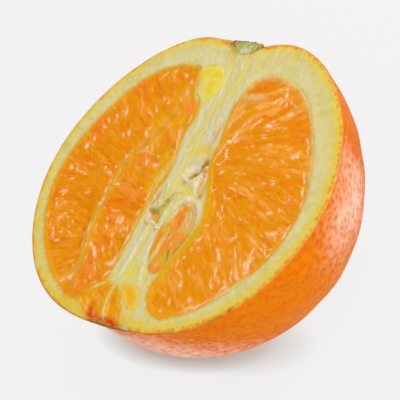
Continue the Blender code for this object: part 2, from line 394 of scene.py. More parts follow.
class Canvas:
    """Colour, relief and wetness of the points of one surface.

    Attributes:
        x: Across the fruit.
        y: Towards the stem.
        bent_x: x as drawn marks see it, bent by noise.
        bent_y: y as they see it.
        fuzz: How strong they are at each point, by noise.
        relief: Height.
        wet_and_sheen: Wetness, from 0 to 1; on the peel, the strength of its painted sheen.
        tint: Linear colour.
    """

    def __init__(self, x: Array, y: Array) -> None:
        """Start flat, damp and pith-coloured, with the bend and fuzz of drawn marks."""
        self.x, self.y = x, y
        self.bent_x = x + 0.22 * noise(x / 1.2, y / 1.2, 81) + 0.15 * noise(x / 0.5, y / 0.5, 82)
        self.bent_y = y + 0.22 * noise(x / 1.2, y / 1.2, 83) + 0.15 * noise(x / 0.5, y / 0.5, 84)
        self.fuzz = 0.78 + 0.34 * noise(x / 0.5, y / 0.5, 85)
        self.relief = np.zeros_like(x)
        self.wet_and_sheen = np.full_like(x, 0.5)
        self.tint = np.ones(x.shape + (3,)) * linear(Hue.PITH)

    def lay(self, hue: Hue, mask: Array | float) -> None:
        """Blend a colour in by a mask."""
        mask = np.clip(np.broadcast_to(mask, self.x.shape), 0.0, 1.0)[..., None]
        self.tint = self.tint * (1.0 - mask) + linear(hue) * mask

    def draw(self, groups: tuple["Marks", ...]) -> None:
        """Draw groups of marks, one after the other."""
        for group in groups:
            group.draw(self)

    def surface(self, z: Array, faces: Array) -> "Surface":
        """The painted points at their heights, with the faces between them."""
        places = PLAN.placed(self.x, self.y, z)
        return Surface(places, [faces], self.tint.reshape(-1, 3), self.wet_and_sheen.ravel())

    def melt(self, other: "Canvas", mask: Array) -> None:
        """Blend in another canvas of the same points by a mask."""
        self.tint = self.tint * (1.0 - mask[..., None]) + other.tint * mask[..., None]
        self.relief = self.relief * (1.0 - mask) + (other.relief - 0.1) * mask
        self.wet_and_sheen = self.wet_and_sheen * (1.0 - mask) + other.wet_and_sheen * mask

    def stroke(self, points: tuple[Point, ...], width: float, hue: Hue | None, strength: float = 1.0,
               lift: float = 0.0, broken: float = 0.0, wet_and_sheen: float | None = None) -> Array:
        """Draw a soft tapering line.

        The mask is a bell curve of the distance from the line over its half width, times a
        taper that rises and falls over the line's length, broken up by noise.

        Args:
            points: The line's points.
            width: Width at the middle.
            hue: Colour, or none.
            strength: Mask at the middle of the line.
            lift: Height of the relief; a groove when negative.
            broken: Share of the line that noise takes away.
            wet_and_sheen: Wetness on the line, or none.

        Returns:
            The mask.
        """
        curve = rounded_curve(points, False, 4)
        reach = 2.2 * width
        near = ((self.x > curve[:, 0].min() - reach) & (self.x < curve[:, 0].max() + reach)
                & (self.y > curve[:, 1].min() - reach) & (self.y < curve[:, 1].max() + reach))
        x, y = self.bent_x[near], self.bent_y[near]
        best, place = np.full_like(x, np.inf), np.zeros_like(x)
        for k, (start, end) in enumerate(zip(curve, curve[1:])):
            along = end - start
            length = max(float(along @ along), 1e-9)
            t = np.clip(((x - start[0]) * along[0] + (y - start[1]) * along[1]) / length, 0.0, 1.0)
            gap = np.hypot(x - start[0] - along[0] * t, y - start[1] - along[1] * t)
            closer = gap < best
            best, place = np.where(closer, gap, best), np.where(closer, k + t, place)
        place = place / (len(curve) - 1)
        taper = np.clip(np.sin(math.pi * (0.08 + 0.84 * place)), 0.0, 1.0) ** 0.5
        part = strength * bell(best, 0.55 * width) * taper * self.fuzz[near]
        part *= 1.0 - broken * smooth(-0.2, 0.5, noise(x * 1.9, y * 1.9, 71))
        mask = np.zeros_like(self.x)
        mask[near] = part
        self.relief += lift * mask
        if hue is not None:
            self.lay(hue, mask)
        if wet_and_sheen is not None:
            self.wet_and_sheen = self.wet_and_sheen * (1 - mask) + wet_and_sheen * mask
        return mask

    def dash(self, mark: Mark, hue: Hue, strength: float, lift: float) -> None:
        """Draw a short, slightly bent line; a salmon one is a painted highlight, with painted shade on its
        deep side and a painted glint at its bright core.

        Args:
            mark: Middle x and y, length, degrees and width.
            hue: Colour.
            strength: Mask at its middle.
            lift: Height of the relief.
        """
        x, y, length, degrees, width = mark
        c, s = math.cos(math.radians(degrees)), math.sin(math.radians(degrees))
        half, bend = 0.45 * length, 0.12 * length * math.sin(17.0 * x + 5.0 * y)
        points = ((x - half * c, y - half * s), (x - bend * s, y + bend * c),
                  (x + half * c, y + half * s))
        # Painted shade beside a painted highlight: a deep orange groove on one side.
        if hue is Hue.SALMON_HIGHLIGHT:
            low = tuple((px + 0.55 * width, py - 0.45 * width) for px, py in points)
            self.stroke(low, 0.9 * width, Hue.PULP_DEEP, 0.8 * strength, -lift, 0.2)
        self.stroke(points, width, hue, strength, lift, 0.3)
        # Painted glint: a brighter, glossier core.
        if hue is Hue.SALMON_HIGHLIGHT:
            core = tuple((x + 0.6 * (px - x), y + 0.6 * (py - y)) for px, py in points)
            self.stroke(core, 0.5 * width, Hue.GLINT, 0.8 * strength, 0.0, 0.3, 1.0)

    def blot(self, middle: Point, size: Point, turn: float, hue: Hue | None, strength: float,
             lift: float, edge: float = 0.35) -> None:
        """Draw a soft-edged ellipse.

        Args:
            middle: Its middle.
            size: Its length and width.
            turn: Degrees from +x to its length.
            hue: Colour, or none.
            strength: Mask inside.
            lift: Height of the relief; a hollow when negative.
            edge: Share of the radius over which it fades.
        """
        c, s = math.cos(math.radians(turn)), math.sin(math.radians(turn))
        dx, dy = self.bent_x - middle[0], self.bent_y - middle[1]
        reach = np.hypot((dx * c + dy * s) / (size[0] / 2), (dy * c - dx * s) / (size[1] / 2))
        reach = reach + 0.16 * noise(self.x * 0.8, self.y * 0.8, 5)
        mask = strength * fall(1.0 - edge, 1.0 + edge, reach) * (0.5 + 0.5 * self.fuzz)
        self.relief += lift * mask
        if hue is not None:
            self.lay(hue, mask)


@dataclass(frozen=True)
class Vesicles:
    """Juice sacs of a segment, cut open: long cells that lie along a flow.

    Each cell belongs to a point of a jittered grid. A place belongs to the nearest point
    in a measure that is stretched along the flow there, so cells are long and narrow.

    Attributes:
        seed: Which set of random numbers.
        flow: Named directions of the flow: x, y, degrees.
        spacing: Distance between cell middles.
        stretch: Length of a cell over its width.
        glints: Share of the cells with a pale raised streak that carries a painted highlight.
        tone: How pale the cells are on the whole.
    """

    seed: int
    flow: tuple[Triple, ...]
    spacing: float = 1.9
    stretch: float = 3.6
    glints: float = 0.5
    tone: float = 0.48

    def direction(self, x: Array, y: Array) -> tuple[Array, Array]:
        """Cosine and sine of the flow: named directions weighted by distance to the -4."""
        c, s = np.zeros_like(x), np.zeros_like(x)
        for fx, fy, degrees in self.flow:
            weight = 1.0 / ((x - fx) ** 2 + (y - fy) ** 2 + 2.0) ** 2
            c += weight * math.cos(math.radians(degrees))
            s += weight * math.sin(math.radians(degrees))
        length = np.hypot(c, s) + 1e-9
        return c / length, s / length

    def cells(self, x: Array, y: Array) -> dict[str, Array]:
        """Find each place's cell.

        Args:
            x: Across the fruit.
            y: Towards the stem.

        Returns:
            edge: distance to the next cell; along and across: place in the cell; and
            four random numbers of the cell, a to d.
        """
        gap = self.spacing
        i0, j0 = np.floor(x / gap).astype(int), np.floor(y / gap).astype(int)
        low_i, low_j = i0.min() - 3, j0.min() - 3
        i, j = np.meshgrid(np.arange(low_i, i0.max() + 4), np.arange(low_j, j0.max() + 4), indexing="ij")
        px = (i + 0.1 + 0.8 * scatter(i, j, self.seed)) * gap
        py = (j + 0.1 + 0.8 * scatter(i, j, self.seed + 1)) * gap
        c, s = self.direction(px, py)
        swing = 0.5 * (scatter(i, j, self.seed + 2) - 0.5)
        c, s = c * np.cos(swing) - s * np.sin(swing), s * np.cos(swing) + c * np.sin(swing)
        longer = self.stretch * (0.6 + 0.8 * scatter(i, j, self.seed + 3))
        first, second = np.full_like(x, np.inf), np.full_like(x, np.inf)
        along, across = np.zeros_like(x), np.zeros_like(x)
        own_i, own_j = np.zeros_like(i0), np.zeros_like(i0)
        for di in range(-2, 3):
            for dj in range(-2, 3):
                a, b = i0 + di - low_i, j0 + dj - low_j
                dx, dy = x - px[a, b], y - py[a, b]
                run = dx * c[a, b] + dy * s[a, b]
                side = dy * c[a, b] - dx * s[a, b]
                reach = np.sqrt(run**2 / longer[a, b] + side**2 * longer[a, b])
                closer = reach < first
                second = np.where(closer, first, np.minimum(second, reach))
                first = np.where(closer, reach, first)
                along, across = np.where(closer, run, along), np.where(closer, side, across)
                own_i, own_j = np.where(closer, a, own_i), np.where(closer, b, own_j)
        chance = {name: scatter(own_i, own_j, self.seed + 10 + k) for k, name in enumerate("abcd")}
        edge = (second - first) / math.sqrt(self.stretch)
        return {"edge": edge, "along": along, "across": across, **chance}

    def combed(self, x: Array, y: Array, size: float, length: float, seed: int) -> Array:
        """Noise drawn out along the flow, with a spread of about 1.

        It is the sum of fine noise at steps up and down the flow line through each place.

        Args:
            x: Across the fruit.
            y: Towards the stem.
            size: Width of a strand.
            length: Its length.
            seed: Which noise.

        Returns:
            The strands' height.
        """
        steps = max(int(length / size), 2)
        total = noise(x / size, y / size, seed)
        for way in (-0.5 * size, 0.5 * size):
            px, py = x, y
            for _ in range(steps):
                c, s = self.direction(px, py)
                px, py = px + way * c, py + way * s
                total = total + noise(px / size, py / size, seed)
        return total / (0.85 * math.sqrt(2.0 * steps + 1.0))

    def paint(self, canvas: Canvas) -> None:
        """Paint the strands and cells and raise their relief.

        Strands run along the flow, in a fine and a broad set. Each cell is a low dome with
        a groove round it and a tone of its own. Here and there the strands crowd and stand
        higher, and pale ridges carry painted highlights that are partly pale fibres.

        Args:
            canvas: The surface.
        """
        x, y, seed = canvas.x, canvas.y, self.seed
        fine = self.combed(x, y, 0.38, 2.2, seed + 50)
        broad = self.combed(x, y, 0.75, 5.0, seed + 60)
        patch = rough_noise(x / 5.0, y / 5.0, seed + 70)
        crinkle = rough_noise(x / 0.85, y / 0.85, seed + 90)
        crowd = smooth(0.05, 0.6, rough_noise(x / 3.4, y / 3.4, seed + 80))
        warp = 0.4 * rough_noise(x / 2.5, y / 2.5, seed + 40)
        cell = self.cells(x + warp, y - warp)
        edge, along, across = cell["edge"], cell["along"], cell["across"]
        a, b, c, d = (cell[name] for name in "abcd")
        dome = smooth(0.0, 0.4, edge)
        canvas.relief += 0.06 * dome + 0.06 * (a - 0.5) + 0.05 * patch
        canvas.relief += dome * (0.04 * (b - 0.5) * along + 0.18 * (c - 0.5) * across)
        canvas.relief += (0.006 + 0.016 * crowd) * fine + 0.020 * broad + 0.045 * crinkle
        tone = self.tone + 0.18 * broad + 0.05 * fine + 0.16 * patch + 0.36 * (b - 0.5) + 0.15 * crinkle
        canvas.lay(Hue.PULP, 1.0)
        canvas.lay(Hue.PULP_DEEP, fall(0.08, 0.42, tone))
        canvas.lay(Hue.PULP_LIGHT, smooth(0.55, 0.95, tone))
        canvas.lay(Hue.PULP_RED, 0.5 * smooth(0.75, 0.95, d) * smooth(-0.3, 0.3, -patch))
        canvas.lay(Hue.PULP_LIGHT, 0.35 * fall(0.02, 0.12, edge) * crowd)
        # Painted highlights: salmon streaks raised on some cells and on crowded strands, partly pale fibres.
        shift_a, shift_w = 1.8 * (c - 0.5), 0.5 * (a - 0.5)
        highlight_ridge = bell(along - shift_a, 0.35 + 0.6 * d) * bell(across - shift_w, 0.14 + 0.10 * b)
        highlight_ridge *= smooth(1.0 - self.glints, 1.05 - self.glints, a) * (0.15 + 0.85 * crowd)
        highlight_ridge = np.maximum(highlight_ridge, 0.4 * crowd * smooth(1.3, 2.4, fine))
        canvas.lay(Hue.SALMON_HIGHLIGHT, 0.75 * highlight_ridge)
        canvas.relief += 0.06 * highlight_ridge
        canvas.wet_and_sheen = 0.8 + 0.15 * smooth(-0.3, 0.5, patch)


# Meshes ---------------------------------------------------------------------------------


@dataclass
class Surface:
    """A mesh under way: points in metres, faces, and painted values."""

    points: Array
    faces: list[Array]
    tint: Array
    wet_and_sheen: Array

    def trimmed(self, keep: Array) -> "Surface":
        """Drop points that are not kept, and every face that uses one."""
        number = np.cumsum(keep) - 1
        faces = [number[f[keep[f].all(axis=1)]] for f in self.faces]
        return Surface(self.points[keep], faces, self.tint[keep], self.wet_and_sheen[keep])

    def to_piece(self, name: str, slot: Slot, nodes: tuple[str, ...]) -> bpy.types.Object:
        """Make the object, ride it on the body and hide the CAD nodes that it stands for.

        Args:
            name: The piece's name.
            slot: Its material slot in the record.
            nodes: The CAD nodes it replaces.

        Returns:
            The object.
        """
        mesh = bpy.data.meshes.new(name)
        loops = np.concatenate([f.ravel() for f in self.faces])
        sizes = np.concatenate([np.full(len(f), f.shape[1]) for f in self.faces])
        mesh.vertices.add(len(self.points))
        mesh.vertices.foreach_set("co", self.points.astype(np.float32).ravel())
        mesh.loops.add(len(loops))
        mesh.loops.foreach_set("vertex_index", loops.astype(np.int32))
        mesh.polygons.add(len(sizes))
        starts = np.concatenate([[0], np.cumsum(sizes)[:-1]])
        mesh.polygons.foreach_set("loop_start", starts.astype(np.int32))
        mesh.update(calc_edges=True)
        mesh.validate()
        tint = mesh.attributes.new("tint", "FLOAT_COLOR", "POINT")
        full = np.hstack([self.tint, np.ones((len(self.tint), 1))])
        tint.data.foreach_set("color", full.astype(np.float32).ravel())
        wet_and_sheen = mesh.attributes.new("wet_and_sheen", "FLOAT", "POINT")
        wet_and_sheen.data.foreach_set("value", self.wet_and_sheen.astype(np.float32))
        mesh.shade_smooth()
        obj = bpy.data.objects.new(name, mesh)
        bpy.context.scene.collection.objects.link(obj)
        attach(obj, BODY)
        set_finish(obj, slot.value)
        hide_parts(*nodes)
        LOG.info("%s: %d points, %d triangles", name, len(self.points), int((sizes - 2).sum()))
        return obj


def dished(canvas: Canvas, cells: int, rings: tuple[tuple[float, float], ...], middle: Array) -> Surface:
    """Close a square-in-disc surface underneath.

    Rings follow the outermost one, each the rim shrunk about the middle and lowered; a
    last point closes them.

    Args:
        canvas: The painted surface, whose relief is its height.
        cells: Grid cells from the middle to a side.
        rings: Share of the rim's radius and depth of each ring below.
        middle: The outline's middle.

    Returns:
        The closed surface.
    """
    n, ring = 2 * cells + 1, ring_of_square(cells)
    flat = canvas.x.ravel(), canvas.y.ravel(), canvas.relief.ravel()
    rim_x, rim_y, rim_z = (values[ring] for values in flat)
    layers, origins = [flat], [np.arange(n * n)]
    faces, before, total = [grid_quads(n, n)], ring, n * n
    for share, depth in rings:
        x = middle[0] + (rim_x - middle[0]) * share
        y = middle[1] + (rim_y - middle[1]) * share
        layers.append((x, y, rim_z - depth))
        origins.append(ring)
        now = total + np.arange(len(ring))
        faces.append(np.stack([before, now, np.roll(now, -1), np.roll(before, -1)], axis=1))
        before, total = now, total + len(ring)
    layers.append(([middle[0]], [middle[1]], [layers[-1][2].mean()]))
    faces.append(np.stack([before, np.full(len(ring), total), np.roll(before, -1)], axis=1))
    origin = np.concatenate(origins + [[0]])
    places = PLAN.placed(*(np.concatenate(column) for column in zip(*layers)))
    return Surface(places, faces, canvas.tint.reshape(-1, 3)[origin], canvas.wet_and_sheen.ravel()[origin])


# Finishes -------------------------------------------------------------------------------


@dataclass(frozen=True)
class Value:
    """A node's output, usable in sums: each operator adds a Math node."""

    tree: bpy.types.NodeTree
    socket: bpy.types.NodeSocket

    def worked(self, operation: str, first: "Value | float", second: "Value | float") -> "Value":
        """Add a Math node.

        Args:
            operation: The node's operation.
            first: First value.
            second: Second value.

        Returns:
            The node's output.
        """
        node = self.tree.nodes.new("ShaderNodeMath")
        node.operation = operation
        for socket, value in zip(node.inputs, (first, second)):
            if isinstance(value, Value):
                self.tree.links.new(value.socket, socket)
            else:
                socket.default_value = value
        return Value(self.tree, node.outputs[0])

    def __add__(self, other: "Value | float") -> "Value":
        """Sum."""
        return self.worked("ADD", self, other)

    def __sub__(self, other: "Value | float") -> "Value":
        """Difference."""
        return self.worked("SUBTRACT", self, other)

    def __rsub__(self, other: float) -> "Value":
        """Difference from a number."""
        return self.worked("SUBTRACT", other, self)

    def __mul__(self, other: "Value | float") -> "Value":
        """Product."""
        return self.worked("MULTIPLY", self, other)

    __radd__ = __add__
    __rmul__ = __mul__


class Bench:
    """A new material and the nodes that are added to it."""

    def __init__(self, name: str) -> None:
        """Start a material with no nodes."""
        self.material = bpy.data.materials.new(name)
        self.material.use_nodes = True
        self.tree = self.material.node_tree
        self.tree.nodes.clear()

    def node(self, kind: str, settings: dict, inputs: dict) -> bpy.types.Node:
        """Add a shader node.

        Args:
            kind: The node's type, without its first word.
            settings: Its settings; stops are a ramp's positions and greys.
            inputs: Values or links of its sockets, by name or number.

        Returns:
            The node.
        """
        node = self.tree.nodes.new("ShaderNode" + kind)
        for key, value in settings.items():
            if key == "stops":
                for element, (position, grey) in zip(node.color_ramp.elements, value):
                    element.position = position
                    element.color = (grey, grey, grey, 1.0)
            else:
                setattr(node, key, value)
        for key, value in inputs.items():
            if isinstance(value, Value):
                self.tree.links.new(value.socket, node.inputs[key])
            else:
                node.inputs[key].default_value = value
        return node

    def output(self, kind: str, settings: dict, inputs: dict, name: str | int = 0) -> Value:
        """One of the outputs of a new node."""
        return Value(self.tree, self.node(kind, settings, inputs).outputs[name])

    def painted(self, name: str) -> Value:
        """The colour painted on the mesh, or a number painted on it."""
        return self.output("Attribute", {"attribute_name": name}, {}, "Color" if name == "tint" else "Fac")

    def place(self, stretch: Triple = (1.0, 1.0, 1.0)) -> Value:
        """Object coordinates, stretched."""
        coordinates = self.output("TexCoord", {}, {}, "Object")
        return self.output("Mapping", {}, {"Vector": coordinates, "Scale": stretch})

    def grain(self, place: Value, size: float, detail: float = 2.0) -> Value:
        """Noise with features of a size in millimetres."""
        settings = {"noise_dimensions": "3D"}
        inputs = {"Vector": place, "Scale": 1.0 / (size * MM), "Detail": detail, "Roughness": 0.55}
        return self.output("TexNoise", settings, inputs)

    def ramp(self, value: Value, *stops: tuple[float, float]) -> Value:
        """A value eased between two stops of position and grey."""
        return self.output("ValToRGB", {"stops": stops}, {"Fac": value})

    def mixed(self, share: Value | float, first: Value | tuple, second: Value | tuple,
              how: str = "MIX") -> Value:
        """Blend two colours."""
        settings = {"data_type": "RGBA", "blend_type": how}
        return self.output("Mix", settings, {0: share, 6: first, 7: second}, 2)

    def bump(self, height: Value, distance: float, strength: float = 1.0) -> Value:
        """A relief of a depth in millimetres."""
        inputs = {"Height": height, "Distance": distance * MM, "Strength": strength}
        return self.output("Bump", {}, inputs)

    def finished(self, inputs: dict) -> bpy.types.Material:
        """Add the shader and the output.

        Args:
            inputs: The shader's values and links.

        Returns:
            The material.
        """
        self.node("OutputMaterial", {}, {"Surface": self.output("BsdfPrincipled", {}, inputs)})
        return self.material


def varied(bench: Bench, tint: Value, grain: Value, amount: float) -> Value:
    """A colour made darker and lighter by grain, by a share either way."""
    level = 1.0 - amount + 2.0 * amount * grain
    grey = bench.output("CombineColor", {}, {0: level, 1: level, 2: level})
    return bench.mixed(1.0, tint, grey, "MULTIPLY")


@dataclass(frozen=True)
class PulpFinish:
    """Wet translucent juice sacs.

    Attributes:
        name: The material's name.
        glow: How far red, green and blue light spread in it.
        depth: Millimetres that the farthest spreads.
    """

    name: str = "pulp_finish"
    glow: Triple = (1.0, 0.32, 0.05)
    depth: float = 1.6

    def material(self) -> bpy.types.Material:
        """Make the material."""
        bench = Bench(self.name)
        place = bench.place()
        fine, wet_and_sheen = bench.grain(place, 0.45), bench.painted("wet_and_sheen")
        return bench.finished({
            "Base Color": varied(bench, bench.painted("tint"), fine, 0.12),
            "Roughness": 0.42 - 0.26 * wet_and_sheen + 0.10 * fine,
            "IOR": 1.38,
            "Specular IOR Level": 0.03,
            "Subsurface Weight": 0.25,
            "Subsurface Radius": self.glow,
            "Subsurface Scale": self.depth * MM,
            "Coat Weight": 0.16 * wet_and_sheen,
            "Coat Roughness": 0.12,
            "Coat IOR": 1.3,
            "Normal": bench.bump(fine, 0.06, 0.6),
        })


@dataclass(frozen=True)
class PithFinish:
    """Spongy, slightly moist pith and core fibres."""

    name: str = "pith_finish"

    def material(self) -> bpy.types.Material:
        """Make the material."""
        bench = Bench(self.name)
        place = bench.place()
        fine, felt = bench.grain(place, 0.35), bench.grain(place, 1.4, 4.0)
        return bench.finished({
            "Base Color": varied(bench, varied(bench, bench.painted("tint"), felt, 0.05), fine, 0.06),
            "Roughness": 0.62 - 0.3 * bench.painted("wet_and_sheen") + 0.08 * fine,
            "IOR": 1.4,
            "Specular IOR Level": 0.25,
            "Subsurface Weight": 0.15,
            "Subsurface Radius": (1.0, 0.8, 0.4),
            "Subsurface Scale": 1.2 * MM,
            "Normal": bench.bump(fine + felt, 0.05, 0.6),
        })


@dataclass(frozen=True)
class RindFinish:
    """Peel dimpled over its oil glands, with a painted pink sheen, a painted reflection, and a glossier coat
    where that sheen is painted.

    Attributes:
        name: The material's name.
        pore_gap: Millimetres between pores.
        pore_depth: Their depth.
        pore_tint: Colour at their bottom.
        faint_sheen_tint: Colour of the painted sheen where it is faint.
        full_sheen_tint: Colour of the painted sheen where it is strongest.
        sheen_share: How much the strongest painted sheen hides of the peel's colour.
    """

    name: str = "rind_finish"
    pore_gap: float = 1.3
    pore_depth: float = 0.11
    pore_tint: tuple[float, ...] = (0.70, 0.10, 0.0, 1.0)
    faint_sheen_tint: tuple[float, ...] = (0.94, 0.28, 0.18, 1.0)
    full_sheen_tint: tuple[float, ...] = (0.98, 0.58, 0.37, 1.0)
    sheen_share: float = 0.88

    def material(self) -> bpy.types.Material:
        """Make the material: a dimple in each cell, deepest at its middle."""
        bench = Bench(self.name)
        place = bench.place()
        broad, fine = bench.grain(place, 9.0, 3.0), bench.grain(place, 0.5)
        inputs = {"Vector": place, "Scale": 1.0 / (self.pore_gap * MM), "Smoothness": 0.25}
        gap = bench.output("TexVoronoi", {"feature": "SMOOTH_F1"}, inputs, "Distance")
        pore = bench.ramp(gap, (0.12, 0.0), (0.62, 1.0))
        leather = bench.grain(place, 1.4, 4.0)
        # Painted sheen: the painted mask, broken by pores and leather grain, mixes a painted pink-white
        # reflection into the peel's colour; the same amount makes the coat glossier.
        sheen_patches = 0.56 * bench.painted("wet_and_sheen") + 0.21 * pore + 0.25 * leather
        sheen_amount = bench.ramp(sheen_patches, (0.39, 0.0), (0.88, 1.0))
        tint = bench.mixed(0.5 * (1.0 - pore), bench.painted("tint"), self.pore_tint)
        tint = bench.mixed(self.sheen_share * sheen_amount, tint, bench.mixed(sheen_amount, self.faint_sheen_tint, self.full_sheen_tint))
        return bench.finished({
            "Base Color": varied(bench, varied(bench, tint, leather, 0.08), fine, 0.05),
            "Roughness": 0.34 + 0.16 * broad + 0.06 * fine,
            "IOR": 1.4,
            "Specular IOR Level": 0.03,
            "Coat Weight": 0.42 * sheen_amount,
            "Coat Roughness": 0.22,
            "Coat IOR": 1.9,
            "Normal": bench.bump(pore + 0.15 * fine + 0.5 * leather, self.pore_depth),
        })


@dataclass(frozen=True)
class ButtonFinish:
    """Dry, fibrous stem button."""

    name: str = "button_finish"

    def material(self) -> bpy.types.Material:
        """Make the material."""
        bench = Bench(self.name)
        fibre = bench.grain(bench.place((1.0, 0.35, 1.0)), 0.35, 4.0)
        return bench.finished({
            "Base Color": varied(bench, bench.painted("tint"), fibre, 0.3),
            "Roughness": 0.85 - 0.2 * fibre,
            "Normal": bench.bump(fibre, 0.2),
        })


# The fruit ------------------------------------------------------------------------------


@dataclass(frozen=True)
class Marks:
    """Marks of one colour on the cut face.

    Attributes:
        hue: Their colour.
        strength: How strong the colour is.
        lift: Their relief.
        broken: Share of a long line that is broken away.
        blots: Ellipses: middle x and y, length, degrees, width.
        lines: Long lines: a width, then x and y of each point.
        dashes: Short lines: middle x and y, length, degrees, width.
    """

    hue: Hue
    strength: float
    lift: float = 0.0
    broken: float = 0.0
    blots: tuple[Mark, ...] = ()
    lines: tuple[tuple[float, ...], ...] = ()
    dashes: tuple[Mark, ...] = ()

    def draw(self, canvas: Canvas) -> None:
        """Draw them: ellipses first, then lines, then dashes."""
        for x, y, length, degrees, width in self.blots:
            canvas.blot((x, y), (length, width), degrees, self.hue, self.strength, self.lift)
        for width, *course in self.lines:
            points = tuple(zip(course[::2], course[1::2]))
            canvas.stroke(points, width, self.hue, self.strength, self.lift, self.broken)
        for mark in self.dashes:
            canvas.dash(mark, self.hue, self.strength, self.lift)


@dataclass
class Segment:
    """A piece of pulp, or a sac, set in the cut face.

    Attributes:
        name: The piece's name.
        node: The CAD node it stands for.
        middle: A point inside from which its whole outline is seen.
        cells: Grid cells from the middle to a side.
        depth: Depth of its underside.
        pulp: Its juice sacs, or none for a smooth sac.
        ground: Colour of a smooth sac.
        slot: Its material slot.
        marks: Its own marks, in the order they are drawn.
        overlap: How far it reaches under the pith beyond its outline.
        rings: How many rings its underside has.
        fullness: Angle at which the underside's quarter ellipse ends, in radians.
        level: Height of the cut along the outline.
        top: Height that no relief rises above.
        outline: Its outline, read from the CAD node.
    """

    name: str
    node: str
    middle: Point
    cells: int
    depth: float
    pulp: Vesicles | None = None
    ground: Hue = Hue.AMBER
    slot: Slot = Slot.PULP
    marks: tuple[Marks, ...] = ()
    overlap: float = 0.35
    rings: int = 7
    fullness: float = 1.4
    level: float = -0.12
    top: float = -0.02
    outline: Outline = field(init=False)

    def __post_init__(self) -> None:
        """Read the outline."""
        self.outline = Outline.of_node(self.node, self.middle)

    def canvas(self) -> Canvas:
        """A grid over the outline: the middle plus a share of the radius at each angle."""
        share, angle = square_in_disc(self.cells)
        reach = share * (self.outline.radius(angle) + self.overlap)
        return Canvas(self.middle[0] + reach * np.cos(angle), self.middle[1] + reach * np.sin(angle))

    def edge_film(self, canvas: Canvas, inside: Array) -> None:
        """Lay a film of membrane along the edge: deeper amber, and by turns a pale salmon streak that is
        partly a painted highlight.

        Args:
            canvas: The piece.
            inside: Distance in from its outline.
        """
        film = rough_noise(canvas.x / 2.0, canvas.y / 2.0, 91)
        if self.pulp is None:
            ragged = rough_noise(canvas.x / 0.9, canvas.y / 0.9, 37)
            canvas.lay(Hue.FIBRE_YELLOW, 0.45 * fall(-0.2, 1.4, inside + 0.6 * ragged))
            canvas.relief += 0.15 + 0.05 * ragged
            return
        canvas.lay(Hue.AMBER, 0.45 * fall(0.2, 1.1, inside))
        # Pale salmon streak along the edge: membrane, and partly a painted highlight.
        canvas.lay(Hue.SALMON_HIGHLIGHT, 0.45 * bell(inside - 0.5, 0.3) * smooth(0.3, 0.7, film))

    def build(self) -> bpy.types.Object:
        """Build and dress the piece.

        The cut face of the pulp is level within a tenth of a millimetre of its outline and
        drops steeply beyond it. The underside is a quarter ellipse: for an angle t, a ring
        is cos t times the outline and lies sin t times the depth under it.

        Returns:
            The object.
        """
        canvas = self.canvas()
        inside = self.outline.inside(canvas.x, canvas.y)
        if self.pulp is not None:
            self.pulp.paint(canvas)
        else:
            canvas.lay(self.ground, 1.0)
            canvas.wet_and_sheen[:] = 0.85
        self.edge_film(canvas, inside)
        canvas.draw(self.marks + MEMBRANE_MARKS + NAVEL_MARKS)
        fade = smooth(-0.05, 0.9, inside) if self.pulp is not None else 1.0
        canvas.relief = self.level + (canvas.relief - 0.18) * fade
        canvas.relief = np.minimum(canvas.relief, self.top)
        canvas.relief -= 0.3 * np.clip(-inside, 0.0, None) + 0.1 * smooth(0.1, 0.3, -inside)
        steps = np.linspace(0.0, self.fullness, self.rings + 1)[1:]
        rings = tuple((math.cos(t), self.depth * math.sin(t)) for t in steps)
        surface = dished(canvas, self.cells, rings, np.array(self.middle))
        return surface.to_piece(self.name, self.slot, (self.node,))


